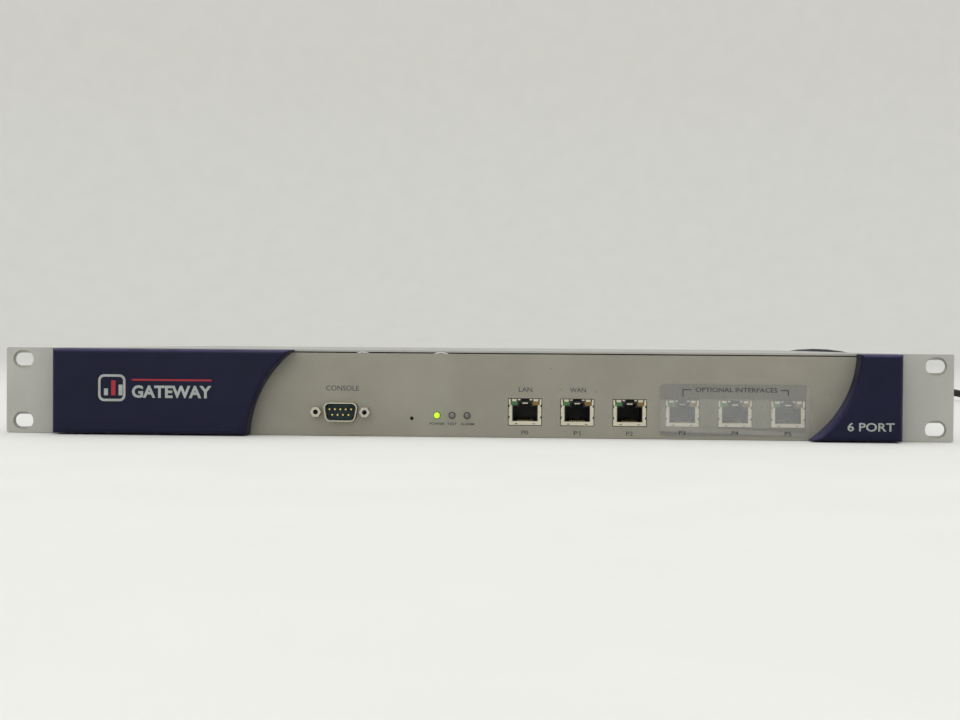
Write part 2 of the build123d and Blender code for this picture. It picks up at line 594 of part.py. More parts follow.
def board_components():
    """Sockets, chips, capacitors and headers on the main board."""
    group = [block(x - 6, x + 6, 40, 52, BOARD_TOP, BOARD_TOP + 1.6) for x in JACK_XS]
    group.append(block(58, 130, 150, 157, BOARD_TOP, BOARD_TOP + 5.2))
    group.append(block(138, 178, 162.8, 170, BOARD_TOP, BOARD_TOP + 6))
    group.append(block(144, 172, 124, 158, BOARD_TOP, BOARD_TOP + 1.5))
    group.append(post(30, 170, 11.5, BOARD_TOP, BOARD_TOP + 1.0))
    group.append(block(18, 46, 88, 116, BOARD_TOP, BOARD_TOP + 2.2))
    group.append(block(-86, -66, 40, 54, BOARD_TOP, BOARD_TOP + 1.8))
    group.append(block(76, 98, 186, 196, BOARD_TOP, BOARD_TOP + 9))
    group += [post(x, 66, 4, BOARD_TOP, BOARD_TOP + 11) for x in range(-70, 0, 14)]
    return group


def supply_components():
    """Transformer, bulk capacitor, choke and output capacitors of the power supply."""
    transformer = block(105, 135, 240, 268, BOARD_TOP, BOARD_TOP + 24)
    bulk = Pos(168, 262, BOARD_TOP + 13) * Rot(90, 0, 0) * Cylinder(13, 40)
    choke = block(146, 164, 286, 298, BOARD_TOP, BOARD_TOP + 18) + block(149, 161, 283, 286, BOARD_TOP, BOARD_TOP + 14)
    outputs = [post(x, 226, 5, BOARD_TOP, BOARD_TOP + 20) for x in (106, 118)]
    header = block(76, 98, 221, 231, BOARD_TOP, BOARD_TOP + 9)
    return [transformer, bulk, choke, header] + outputs


def supply_heatsinks():
    """Two upright heatsinks beside the transformer."""
    group = []
    for x in (92.0, 143.0):
        plate = block(x, x + 3, 238, 276, BOARD_TOP, BOARD_TOP + 28)
        group.append(plate + [block(x - 4, x, y, y + 1.5, BOARD_TOP + 8, BOARD_TOP + 28) for y in range(240, 275, 6)])
    return group


def harness():
    """Four wires from the supply's header to the main board's."""
    wires = []
    for x in (79.0, 84.5, 90.0, 95.5):
        path = FilletPolyline(
            (x, 226, BOARD_TOP + 9), (x, 226, 24), (x, 191, 24), (x, 191, BOARD_TOP + 9), radius=5
        )
        wires.append(sweep(Plane((x, 226, BOARD_TOP + 9), z_dir=(0, 0, 1)) * Circle(0.9), path=path))
    return wires


# ------------------------------------------------------------------ mains lead


def cord_route():
    """From the strain relief: a turn to the right, an arch, and down to the surface as far as the coil."""
    exit_z = INLET_Z
    low = CORD_R + 0.05
    return [
        (INLET_X, CORD_EXIT_Y, exit_z),
        (176.5, 411.0, 22.8),
        (190.0, 432.0, 28.5),
        (218.0, 443.5, 35.5),
        (268.0, 447.0, 44.3),
        (315.0, 454.0, 36.2),
        (353.0, 470.0, 21.5),
        (388.0, 489.0, 9.4),
        (426.0, 505.0, low),
        (448.0, 504.6, low),
        (464.0, 502.0, low),
    ]


def power_cord():
    """A plain tube whose bends are as wide as the runs beside them allow."""
    points = [Vector(*point) for point in cord_route()]
    bends = []
    for before, here, after in zip(points, points[1:], points[2:]):
        half_turn = radians((here - before).get_angle(after - here)) / 2
        bends.append(0.45 * min((here - before).length, (after - here).length) / tan(half_turn))
    print("cord bends (mm):", [round(bend) for bend in bends])
    path = FilletPolyline(*points, radius=bends)
    start = Plane(points[0], z_dir=points[1] - points[0])
    tube = sweep(start * Circle(CORD_R), path=path)
    print("cord volume / (section x length):", round(tube.volume / (pi * CORD_R**2 * path.length), 4))
    print("cord stretch (mm):", round(path.length, 1))
    return tube


def inlet_connector():
    """The moulded connector in the inlet, its grip and its tapered strain relief."""
    y0 = CASE_D - INLET_CAVITY_D + 1.5
    face_y = CASE_D + INLET_FLANGE_T
    nose = chamfered_block(INLET_X, INLET_Z, INLET_CAVITY_W - 0.6, INLET_CAVITY_H - 0.6, y0, face_y, 4.0)
    grip = centred(INLET_X, INLET_Z, GRIP_W, GRIP_H, face_y, face_y + GRIP_L)
    grip = fillet(grip.edges().filter_by(Axis.Y), 3.5)
    relief_y = face_y + GRIP_L
    relief = Pos(INLET_X, relief_y + RELIEF_L / 2, INLET_Z) * Rot(-90, 0, 0) * Cone(5.6, CORD_R + 0.6, RELIEF_L)
    body = nose + grip + relief
    slot_w, slot_h = BLADE_W + 0.4, BLADE_H + 0.4
    return body - [centred(INLET_X + u, INLET_Z + v, slot_w, slot_h, y0 - 1, CASE_D + 1) for u, v in BLADE_PLACES]


def power_cord_coil():
    """The outer shape of the stored turns."""
    return post(COIL_X, COIL_Y, COIL_R1, 0, COIL_H) - post(COIL_X, COIL_Y, COIL_R0, -1, COIL_H + 1)


def mains_plug():
    """The three-pin plug, lying beside the coil and pointing to the front."""
    middle = PLUG_H / 2
    body = centred(PLUG_X, middle, PLUG_W, PLUG_H, PLUG_Y - PLUG_L, PLUG_Y)
    body = fillet(body.edges().filter_by(Axis.Y), 4.0)
    relief = Cone(5.5, CORD_R + 0.5, PLUG_RELIEF_L)
    plug = body + Pos(PLUG_X, PLUG_Y + PLUG_RELIEF_L / 2, middle) * Rot(-90, 0, 0) * relief
    root_y = PLUG_Y - PLUG_L
    for side in (-1, 1):
        x = PLUG_X + side * PRONG_PITCH / 2
        plug += centred(x, middle - PRONG_DROP, PRONG_T, PRONG_W, root_y - PRONG_L, root_y)
    return plug + rod(PLUG_X, middle + EARTH_RISE, EARTH_R, root_y - PRONG_L - 2, root_y)


def cord_tie():
    """A band round the coil's left-hand side."""
    x0, x1 = COIL_X - COIL_R1, COIL_X - COIL_R0
    y0, y1 = COIL_Y - TIE_W / 2, COIL_Y + TIE_W / 2
    band = block(x0 - TIE_T, x1 + TIE_T, y0, y1, 0.0, COIL_H + TIE_T)
    return band - block(x0, x1, y0 - 1, y1 + 1, 0.6, COIL_H)


def main():
    os.makedirs("parts", exist_ok=True)
    save("chassis_base", chassis_base())
    save("front_panel", front_panel())
    save("rack_ear_left", rack_ear(-1))
    save("rack_ear_right", rack_ear(1))
    save("top_cover", top_cover())
    save("bezel_left", bezel(-BEZEL_OUTER_X, LEFT_TOP_X, LEFT_FOOT_X, LEFT_SAG, LEFT_PEGS))
    save("bezel_right", bezel(BEZEL_OUTER_X, RIGHT_TOP_X, RIGHT_FOOT_X, RIGHT_SAG, RIGHT_PEGS))
    for number, x in enumerate(JACK_XS, start=1):
        save(f"jack_shell_{number}", jack_shell(x))
        save(f"jack_insert_{number}", jack_insert(x))
    save("jack_contacts", *[strip for x in JACK_XS for strip in jack_contacts(x)])
    save("jack_green_lights", *[jack_lamp(x, -1) for x in JACK_XS])
    save("jack_amber_lights", *[jack_lamp(x, 1) for x in JACK_XS])
    save("console_shell", console_shell())
    save("console_insert", console_insert())
    save("console_pins", *console_pins())
    save("console_jackscrews", *[jackscrew(x) for x in jackscrew_xs()])
    save("power_led", led(LED_XS[0]))
    save("status_leds", *[led(x) for x in LED_XS[1:]])
    save("reset_switch", reset_switch())
    save("reset_button", reset_button())
    save("port_cover_film", port_cover_film())
    save("mains_inlet", mains_inlet())
    save("inlet_blades", *inlet_blades())
    save("switch_frame", switch_frame())
    save("power_rocker", power_rocker())
    for number, x in enumerate(FAN_XS, start=1):
        save(f"fan_frame_{number}", fan_frame(x))
        save(f"fan_rotor_{number}", fan_rotor(x))
    save("fan_guards", *[fan_guard(x) for x in FAN_XS])
    save("main_board", board(BOARD_X0, BOARD_X1, BOARD_Y0, BOARD_Y1, main_studs()))
    save("processor", processor())
    save("heatsink", heatsink())
    save("memory_module", memory_module())
    save("flash_card", flash_card())
    save("clock_battery", clock_battery())
    save("board_components", *board_components())
    save("supply_board", board(SUPPLY_X0, SUPPLY_X1, SUPPLY_Y0, SUPPLY_Y1, supply_studs()))
    save("supply_components", *supply_components())
    save("supply_heatsinks", *supply_heatsinks())
    save("supply_harness", *harness())
    save("standoffs", *standoffs())
    save("screws", *screws())
    save("inlet_connector", inlet_connector())
    save("power_cord", power_cord())
    save("power_cord_coil", power_cord_coil())
    save("mains_plug", mains_plug())
    save("cord_tie", cord_tie())


main()
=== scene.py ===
"""Finishes and detail pieces for a one-unit rack firewall appliance and its mains lead."""

import json
from math import cos, radians, sin, tau

import bmesh
import bpy
from bpy.props import FloatProperty, FloatVectorProperty, IntProperty, PointerProperty, StringProperty
from mathutils import Matrix, Vector
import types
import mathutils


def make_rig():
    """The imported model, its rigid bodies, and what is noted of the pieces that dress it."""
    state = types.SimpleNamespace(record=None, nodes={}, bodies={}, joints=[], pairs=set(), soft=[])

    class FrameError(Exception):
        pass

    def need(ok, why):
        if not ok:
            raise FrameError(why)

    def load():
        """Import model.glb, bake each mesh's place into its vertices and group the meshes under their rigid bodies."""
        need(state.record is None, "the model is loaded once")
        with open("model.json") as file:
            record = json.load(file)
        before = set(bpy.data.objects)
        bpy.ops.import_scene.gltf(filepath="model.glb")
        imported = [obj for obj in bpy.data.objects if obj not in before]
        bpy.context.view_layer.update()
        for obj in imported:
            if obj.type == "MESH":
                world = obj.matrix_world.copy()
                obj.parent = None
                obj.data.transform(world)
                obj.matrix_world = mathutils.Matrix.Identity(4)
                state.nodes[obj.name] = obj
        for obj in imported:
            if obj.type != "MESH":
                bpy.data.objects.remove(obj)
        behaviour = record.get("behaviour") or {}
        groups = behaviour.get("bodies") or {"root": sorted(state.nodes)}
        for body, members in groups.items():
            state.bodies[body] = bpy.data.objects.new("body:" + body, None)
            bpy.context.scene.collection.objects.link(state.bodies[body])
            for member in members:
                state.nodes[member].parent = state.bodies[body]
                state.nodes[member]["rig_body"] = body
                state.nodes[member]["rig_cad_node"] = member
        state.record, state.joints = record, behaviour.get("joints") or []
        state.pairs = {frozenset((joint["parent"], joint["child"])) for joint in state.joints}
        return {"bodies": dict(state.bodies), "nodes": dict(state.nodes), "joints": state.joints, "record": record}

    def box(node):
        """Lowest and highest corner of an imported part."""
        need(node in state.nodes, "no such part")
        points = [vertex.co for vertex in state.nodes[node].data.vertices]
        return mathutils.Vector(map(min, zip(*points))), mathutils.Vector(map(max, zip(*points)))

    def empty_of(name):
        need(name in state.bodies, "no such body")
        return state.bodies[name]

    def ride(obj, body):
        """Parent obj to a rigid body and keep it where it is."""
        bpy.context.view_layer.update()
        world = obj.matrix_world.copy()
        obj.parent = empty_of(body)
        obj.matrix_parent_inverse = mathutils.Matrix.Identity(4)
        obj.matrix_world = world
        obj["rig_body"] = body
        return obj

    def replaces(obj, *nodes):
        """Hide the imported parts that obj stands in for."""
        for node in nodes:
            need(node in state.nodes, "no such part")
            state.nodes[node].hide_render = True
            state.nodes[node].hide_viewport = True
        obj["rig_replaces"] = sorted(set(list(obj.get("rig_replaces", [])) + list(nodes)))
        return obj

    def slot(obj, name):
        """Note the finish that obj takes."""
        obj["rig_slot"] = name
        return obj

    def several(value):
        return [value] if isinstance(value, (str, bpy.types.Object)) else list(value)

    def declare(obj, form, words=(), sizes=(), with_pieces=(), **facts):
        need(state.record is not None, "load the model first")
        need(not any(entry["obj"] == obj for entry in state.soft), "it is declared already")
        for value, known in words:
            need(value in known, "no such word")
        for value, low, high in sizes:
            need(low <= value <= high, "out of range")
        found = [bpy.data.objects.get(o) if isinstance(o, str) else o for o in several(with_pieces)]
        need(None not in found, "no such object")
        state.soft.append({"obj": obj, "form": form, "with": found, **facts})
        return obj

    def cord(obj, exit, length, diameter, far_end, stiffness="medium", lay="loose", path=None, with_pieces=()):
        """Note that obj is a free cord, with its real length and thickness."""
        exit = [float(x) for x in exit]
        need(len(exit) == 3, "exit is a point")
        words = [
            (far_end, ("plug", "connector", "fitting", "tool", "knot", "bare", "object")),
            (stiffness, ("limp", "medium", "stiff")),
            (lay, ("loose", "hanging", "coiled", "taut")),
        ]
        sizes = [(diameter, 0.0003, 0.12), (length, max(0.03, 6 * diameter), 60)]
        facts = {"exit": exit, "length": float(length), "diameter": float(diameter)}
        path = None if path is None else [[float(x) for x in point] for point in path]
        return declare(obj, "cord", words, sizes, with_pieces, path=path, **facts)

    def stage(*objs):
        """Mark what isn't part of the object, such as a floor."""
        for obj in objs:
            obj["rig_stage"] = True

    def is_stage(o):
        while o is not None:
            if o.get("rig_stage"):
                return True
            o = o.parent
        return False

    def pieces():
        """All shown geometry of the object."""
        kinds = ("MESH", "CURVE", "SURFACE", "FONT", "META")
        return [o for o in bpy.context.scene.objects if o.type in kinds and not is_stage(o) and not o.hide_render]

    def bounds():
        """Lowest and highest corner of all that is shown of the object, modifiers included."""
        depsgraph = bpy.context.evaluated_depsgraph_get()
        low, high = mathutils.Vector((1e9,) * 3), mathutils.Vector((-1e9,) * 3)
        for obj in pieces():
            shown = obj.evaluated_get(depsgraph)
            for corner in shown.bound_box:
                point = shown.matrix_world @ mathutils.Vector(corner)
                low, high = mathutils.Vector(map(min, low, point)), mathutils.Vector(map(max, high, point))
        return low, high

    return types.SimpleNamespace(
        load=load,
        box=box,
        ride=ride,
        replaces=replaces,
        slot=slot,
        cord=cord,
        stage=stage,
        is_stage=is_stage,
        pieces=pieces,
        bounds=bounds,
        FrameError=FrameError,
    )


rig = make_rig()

bl_info = {
    "name": "Rack firewall appliance",
    "version": (1, 0, 0),
    "blender": (4, 5, 0),
    "location": "3D View > Sidebar > Appliance",
    "description": "Finishes, printing, fasteners and mains lead of a one-unit rack appliance",
    "category": "Object",
}

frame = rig.load()
CAD_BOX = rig.bounds()
FACE_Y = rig.box("front_panel")[0].y
REAR_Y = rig.box("chassis_base")[1].y
CASE = "appliance"
FANS = (1, 2, 3)
JACKS = (1, 2, 3, 4, 5, 6)


def at(x, y, z):
    """A point given in metres from the middle of the front panel's face, down to the surface it stands on."""
    return Vector((x, FACE_Y + y, z))


def middle(node):
    """The middle of a node's box."""
    low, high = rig.box(node)
    return (low + high) / 2


def linear(red, green, blue):
    """A display colour from 0 to 255 as the linear colour that shaders take."""
    return tuple((c / 255 / 12.92) if c <= 10 else ((c / 255 + 0.055) / 1.055) ** 2.4 for c in (red, green, blue))


def shade(colour, factor):
    """A colour made darker or lighter."""
    return tuple(min(1.0, c * factor) for c in colour[:3])


# ------------------------------------------------------------------ settings


def length(name, description, default):
    return FloatProperty(name=name, description=description, default=default, min=0.0, unit="LENGTH", precision=5)


def number(name, description, default, low=0.0, unit="NONE"):
    return FloatProperty(name=name, description=description, default=default, min=low, unit=unit)


def colour(name, description, default):
    return FloatVectorProperty(
        name=name, description=description, default=default, size=3, min=0.0, max=1.0, subtype="COLOR"
    )


class StudioSettings(bpy.types.PropertyGroup):
    """The floor, the lights and the camera."""

    floor_colour: colour("Floor", "Colour of the floor and the wall that it runs up into", linear(238, 237, 231))
    floor_radius: length("Floor radius", "Flat part of the floor, round the appliance", 2.6)
    wall_height: length("Wall height", "Height of the wall round the floor", 2.4)
    sky: number("Sky", "Strength of the light from all round", 0.88)
    key_power: number("Top light", "Power of the large light above", 8.0, unit="POWER")
    fill_power: number("Front light", "Power of the light in front", 6.5, unit="POWER")
    lens: number("Lens", "Focal length of the camera, in millimetres", 48.0, 1.0)
    camera_place: FloatVectorProperty(
        name="Camera", description="Where the camera stands", default=at(0.03187, -0.65056, 0.04824), size=3,
        subtype="TRANSLATION", unit="LENGTH",
    )
    camera_turn: FloatVectorProperty(
        name="Camera turn", description="The camera's tilt, roll and turn",
        default=tuple(radians(a) for a in (-0.775, -0.436, 2.487)), size=3, subtype="EULER",
    )


class CaseSettings(bpy.types.PropertyGroup):
    """Colours of the case and its plastics."""

    panel: colour("Panel", "Paint of the front panel", linear(147, 144, 131))
    # The ears tone is a lighter copy of the panel's paint: painted light, standing for the brighter light on the
    # panel's ends past the bezels.
    lit_ears: colour("Ears", "Paint of the panel's two ends", linear(178, 177, 170))
    cover: colour("Cover", "Paint of the top cover", linear(176, 175, 168))
    bezel: colour("Bezels", "Plastic of the two bezels", linear(17, 18, 46))
    shield: colour("Jack shields", "Plating of the network jacks", linear(214, 208, 188))
    connector: colour("Console port", "Plastic that carries the console pins", linear(24, 52, 58))
    lit: colour("Power light", "Colour of the lit power light", linear(186, 236, 44))


class PrintSettings(bpy.types.PropertyGroup):
    """Printed words and marks."""

    ink: colour("Ink", "Ink of the port names", linear(62, 64, 70))
    silver: colour("Silver", "Metallic print on the bezels", linear(168, 172, 168))
    accent: colour("Accent", "Accent colour on the bezels", linear(158, 22, 38))
    ink_depth: length("Ink depth", "How far printing stands off its surface", 0.00006)
    stroke: length("Stroke", "Added weight of the small letters", 0.00002)
    badge_word: StringProperty(name="Badge", description="Plain word on the left bezel", default="GATEWAY")
    count_word: StringProperty(name="Port count", description="Words on the right bezel", default="6 PORT")


class ScrewSettings(bpy.types.PropertyGroup):
    """Pan-head screws with a cross recess."""

    sides: IntProperty(name="Sides", description="Corners round a screw head", default=24, min=8)
    recess_width: number("Recess width", "Arm width of the cross, as a share of the head's radius", 0.24, 0.01)
    recess_reach: number("Recess reach", "Length of the cross's arms, as a share of the head's radius", 1.12, 0.1)
    recess_depth: number("Recess depth", "Depth of the cross, as a share of the head's height", 0.6, 0.05)


class JackSettings(bpy.types.PropertyGroup):
    """Springs of the jack shields, and the painted shade in their openings."""

    spring_width: length("Spring width", "Width of the side springs", 0.0011)
    dimple: length("Dimple", "Radius of the bump on a side spring", 0.00062)
    tab_width: length("Tab width", "Width of the bright tab over a light", 0.0021)
    # The slot sizes are those of the dark sheets of painted shade in the shield's openings.
    slot_width: length("Slot width", "Width of the wide opening at the top", 0.0047)
    slot_height: length("Slot height", "Height of the openings along the edges", 0.0009)


class LeadSettings(bpy.types.PropertyGroup):
    """The mains lead."""

    diameter: length("Diameter", "Thickness of the cord", 0.0061)
    cord_length: length("Length", "Length of the cord between its two mouldings", 1.73)
    coil_inner: length("Inner turn", "Radius of the coil's inner turns, at the cord's middle", 0.027)
    coil_outer: length("Outer turn", "Radius of the coil's outer turns, at the cord's middle", 0.0391)
    points_per_turn: IntProperty(
        name="Points per turn", description="Control points in each turn of the coil", default=14, min=12
    )
    ribs: IntProperty(name="Ribs", description="Ribs on each strain relief", default=6, min=2)
    rubber: colour("Rubber", "Colour of the cord and its mouldings", linear(34, 34, 36))


# ------------------------------------------------------------------ trees of nodes


class Wiring:
    """Adds and joins the nodes of one tree."""

    def __init__(self, tree):
        self.tree = tree

    def feed(self, socket, value):
        if isinstance(value, bpy.types.NodeSocket):
            self.tree.links.new(value, socket)
        elif socket.type == "RGBA" and len(value) == 3:
            socket.default_value = (*value, 1.0)
        else:
            socket.default_value = value

    def node(self, kind, **settings):
        """A new node. Names in lower case are its properties and the others its inputs, with _ for a space."""
        made = self.tree.nodes.new(kind)
        for name, value in settings.items():
            if name[0].islower():
                setattr(made, name, value)
        for name, value in settings.items():
            if not name[0].islower():
                self.feed(made.inputs[name.replace("_", " ")], value)
        return made

    def maths(self, operation, a, b=0.0):
        made = self.node("ShaderNodeMath", operation=operation)
        self.feed(made.inputs[0], a)
        self.feed(made.inputs[1], b)
        return made.outputs[0]

    def between(self, value, low, high, to_low=0.0, to_high=1.0):
        """value, moved smoothly from the range low to high to the range to_low to to_high."""
        return self.node(
            "ShaderNodeMapRange", interpolation_type="SMOOTHSTEP", Value=value, From_Min=low, From_Max=high,
            To_Min=to_low, To_Max=to_high,
        ).outputs[0]

    def mix(self, factor, a, b):
        made = self.node("ShaderNodeMix", data_type="RGBA")
        self.feed(made.inputs[0], factor)
        self.feed(made.inputs[6], a)
        self.feed(made.inputs[7], b)
        return made.outputs[2]

    def noise(self, vector, scale, detail=2.0):
        return self.node("ShaderNodeTexNoise", Vector=vector, Scale=scale, Detail=detail).outputs["Fac"]

    def stretch(self, vector, *factors):
        made = self.node("ShaderNodeVectorMath", operation="MULTIPLY")
        self.feed(made.inputs[0], vector)
        self.feed(made.inputs[1], factors)
        return made.outputs[0]

    def bump(self, height, distance, strength=1.0):
        return self.node("ShaderNodeBump", Strength=strength, Distance=distance, Height=height).outputs["Normal"]

    def effect(self, tree, **settings):
        """The outputs of a shared group placed here with its own values."""
        made = self.node("ShaderNodeGroup", node_tree=tree)
        for name, value in settings.items():
            self.feed(made.inputs[name], value)
        return made.outputs

    def axes(self, vector):
        """The X, Y and Z of a vector."""
        return self.node("ShaderNodeSeparateXYZ", Vector=vector).outputs

    def vector(self, x, y, z):
        return self.node("ShaderNodeCombineXYZ", X=x, Y=y, Z=z).outputs[0]

    def fact(self, name):
        """A named attribute of the points."""
        return self.node("GeometryNodeInputNamedAttribute", data_type="FLOAT_VECTOR", Name=name).outputs["Attribute"]

    def gather(self, socket, *values):
        """Join every value to a socket that takes many."""
        for value in values:
            self.tree.links.new(value, socket)

    def joined(self, solids):
        made = self.node("GeometryNodeJoinGeometry")
        self.gather(made.inputs[0], *solids)
        return made.outputs[0]

    def moved(self, geometry, **how):
        return self.node("GeometryNodeTransform", Geometry=geometry, **how).outputs[0]

    def copies(self, points, solid, **how):
        return self.node("GeometryNodeInstanceOnPoints", Points=points, Instance=solid, **how).outputs[0]

    def cube(self, size):
        return self.node("GeometryNodeMeshCube", Size=size).outputs["Mesh"]

    def drum(self, sides):
        """A cylinder of radius 1 and height 1."""
        return self.node("GeometryNodeMeshCylinder", Vertices=sides, Radius=1.0, Depth=1.0).outputs["Mesh"]

    def ball(self, segments, rings, radius):
        return self.node("GeometryNodeMeshUVSphere", Segments=segments, Rings=rings, Radius=radius).outputs["Mesh"]

    def hoop(self, corners, radius, thickness):
        """A round ring, flat in X and Y. thickness is the radius of its section."""
        ring, rim = (
            self.node("GeometryNodeCurvePrimitiveCircle", Resolution=count, Radius=reach).outputs["Curve"]
            for count, reach in ((corners, radius), (8, thickness))
        )
        return self.node("GeometryNodeCurveToMesh", Curve=ring, Profile_Curve=rim).outputs["Mesh"]


def shared_effect(name, inputs, outputs, draw):
    """A shader node group, built once. draw joins its inputs to its outputs."""
    tree = bpy.data.node_groups.get(name)
    if tree is None:
        tree = bpy.data.node_groups.new(name, "ShaderNodeTree")
        for label, value in inputs.items():
            kind = "NodeSocketVector" if value is None else "NodeSocketFloat"
            socket = tree.interface.new_socket(label, in_out="INPUT", socket_type=kind)
            if value is not None:
                socket.default_value = value
        for label in outputs:
            tree.interface.new_socket(label, in_out="OUTPUT", socket_type="NodeSocketFloat")
        wiring = Wiring(tree)
        draw(wiring, wiring.node("NodeGroupInput").outputs, wiring.node("NodeGroupOutput").inputs)
    return tree


def fine_grain():
    """Close grain for relief, and a wide soft unevenness for tone."""

    def draw(w, given, out):
        close = w.noise(given["Vector"], given["Scale"], 3.0)
        wide = w.noise(given["Vector"], w.maths("MULTIPLY", given["Scale"], 0.02), 3.0)
        w.feed(out["Height"], close)
        mixed = w.maths("ADD", w.maths("MULTIPLY", close, 0.35), w.maths("MULTIPLY", wide, 0.65))
        w.feed(out["Tone"], w.between(mixed, 0.3, 0.7))

    return shared_effect("fine_grain", {"Vector": None, "Scale": 2500.0}, ("Tone", "Height"), draw)


def scuffs():
    """Thin rubbed lines and sparse dark specks."""

    def draw(w, given, out):
        tall = w.noise(w.stretch(given["Vector"], 1.0, 1.0, 0.06), given["Scale"], 4.0)
        flat = w.noise(w.stretch(given["Vector"], 0.05, 0.4, 1.0), given["Scale"], 4.0)
        patchy = w.between(w.noise(given["Vector"], 14.0, 2.0), 0.5, 0.68)
        lines = w.maths("MAXIMUM", w.between(tall, 0.69, 0.75), w.between(flat, 0.7, 0.76))
        w.feed(out["Lines"], w.maths("MULTIPLY", lines, patchy))
        spacing = w.maths("MULTIPLY", given["Scale"], 0.22)
        dots = w.node("ShaderNodeTexVoronoi", Vector=given["Vector"], Scale=spacing).outputs["Distance"]
        chosen = w.between(w.noise(given["Vector"], w.maths("MULTIPLY", given["Scale"], 0.08), 1.0), 0.6, 0.64)
        w.feed(out["Specks"], w.maths("MULTIPLY", w.between(dots, 0.13, 0.05), chosen))

    return shared_effect("scuffs", {"Vector": None, "Scale": 700.0}, ("Lines", "Specks"), draw)


def settled_dust():
    """Dust where a surface faces up."""

    def draw(w, given, out):
        upward = w.between(w.axes(given["Normal"])["Z"], 0.35, 0.95)
        patches = w.between(w.noise(given["Vector"], 60.0, 5.0), 0.35, 0.75)
        w.feed(out["Mask"], w.maths("MULTIPLY", w.maths("MULTIPLY", upward, patches), given["Amount"]))

    return shared_effect("settled_dust", {"Vector": None, "Normal": None, "Amount": 0.3}, ("Mask",), draw)


def rolled_lines():
    """Long fine lines left by rolling or brushing, along X."""

    def draw(w, given, out):
        lines = w.noise(w.stretch(given["Vector"], 0.02, 1.0, 1.0), given["Scale"], 4.0)
        w.feed(out["Tone"], w.between(lines, 0.3, 0.7))
        w.feed(out["Height"], lines)

    return shared_effect("rolled_lines", {"Vector": None, "Scale": 1800.0}, ("Tone", "Height"), draw)


class Surface(Wiring):
    """The nodes of one new material."""

    def __init__(self, name):
        self.material = bpy.data.materials.new(name)
        self.material.use_nodes = True
        super().__init__(self.material.node_tree)
        self.shader = self.tree.nodes["Principled BSDF"].inputs
        self.position = self.node("ShaderNodeTexCoord").outputs["Object"]
        self.normal = self.node("ShaderNodeNewGeometry").outputs["True Normal"]

    def grain(self, scale):
        return self.effect(fine_grain(), Vector=self.position, Scale=scale)

    def worn(self, scale):
        return self.effect(scuffs(), Vector=self.position, Scale=scale)

    def dust(self, amount):
        return self.effect(settled_dust(), Vector=self.position, Normal=self.normal, Amount=amount)["Mask"]

    def cells(self, scale):
        return self.node("ShaderNodeTexVoronoi", Vector=self.position, Scale=scale).outputs

    def tones(self, value, tone, dark, light):
        """A tone that runs from darker to lighter with a value."""
        return self.mix(value, shade(tone, dark), shade(tone, light))

    def past_bezels(self, low, high):
        """A mask of what is further out than the bezels' outer edges, between two distances from them."""
        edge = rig.box("bezel_right")[1].x
        return self.between(self.maths("ABSOLUTE", self.axes(self.position)["X"]), edge + low, edge + high)

    def close(self, look, value, smoothest, roughest, height=None, relief=0.0, **plain):
        """The material, with its colour, a roughness that follows a value, its relief and its plain settings."""
        self.feed(self.shader["Base Color"], look)
        self.feed(self.shader["Roughness"], self.between(value, 0.0, 1.0, smoothest, roughest))
        if height is not None:
            self.feed(self.shader["Normal"], self.bump(height, relief))
        for name, setting in plain.items():
            self.shader[name.replace("_", " ")].default_value = setting
        return self.material


def painted(name, tone, scale=2600.0, relief=0.00002, roughness=0.42, marks=0.5, lit_end_tone=None):
    """Textured paint on sheet metal. Its last argument is the colour past the bezels' outer edges: a lighter tone,
    painted light on the panel's ends.
    """
    s = Surface(name)
    grain, worn, dust = s.grain(scale), s.worn(900.0), s.dust(0.22)
    look = s.tones(grain["Tone"], tone, 0.93, 1.06)
    # Painted light: past the bezels' outer edges the paint is lightened to the end tone.
    if lit_end_tone:
        look = s.mix(s.past_bezels(-0.0004, 0.0004), look, s.tones(grain["Tone"], lit_end_tone, 0.95, 1.05))
    look = s.mix(s.maths("MULTIPLY", worn["Lines"], marks), look, shade(tone, 1.45))
    look = s.mix(s.maths("MULTIPLY", worn["Specks"], marks), look, shade(tone, 0.3))
    look = s.mix(dust, look, linear(186, 180, 166))
    rough = roughness - 0.05, roughness + 0.08
    return s.close(look, grain["Tone"], *rough, grain["Height"], relief, Specular_IOR_Level=0.4)


def metal(name, tone, roughness=0.3, shine=1.0, scale=1800.0, relief=0.000008, spangled=False):
    """Bare or plated metal with rolling lines. spangled adds the crystals of zinc-coated sheet."""
    s = Surface(name)
    lines = s.effect(rolled_lines(), Vector=s.position, Scale=scale)
    grain, worn = s.grain(scale), s.worn(1100.0)
    mixed = s.maths("MULTIPLY", s.maths("ADD", lines["Tone"], grain["Tone"]), 0.5)
    if spangled:
        patch = s.node("ShaderNodeSeparateColor", Color=s.cells(130.0)["Color"]).outputs["Red"]
        mixed = s.maths("ADD", s.maths("MULTIPLY", patch, 0.6), s.maths("MULTIPLY", mixed, 0.4))
    look = s.tones(mixed, tone, 0.82, 1.08)
    look = s.mix(s.maths("MULTIPLY", worn["Lines"], 0.4), look, shade(tone, 1.25))
    return s.close(look, mixed, roughness - 0.07, roughness + 0.12, lines["Height"], relief, Metallic=shine)


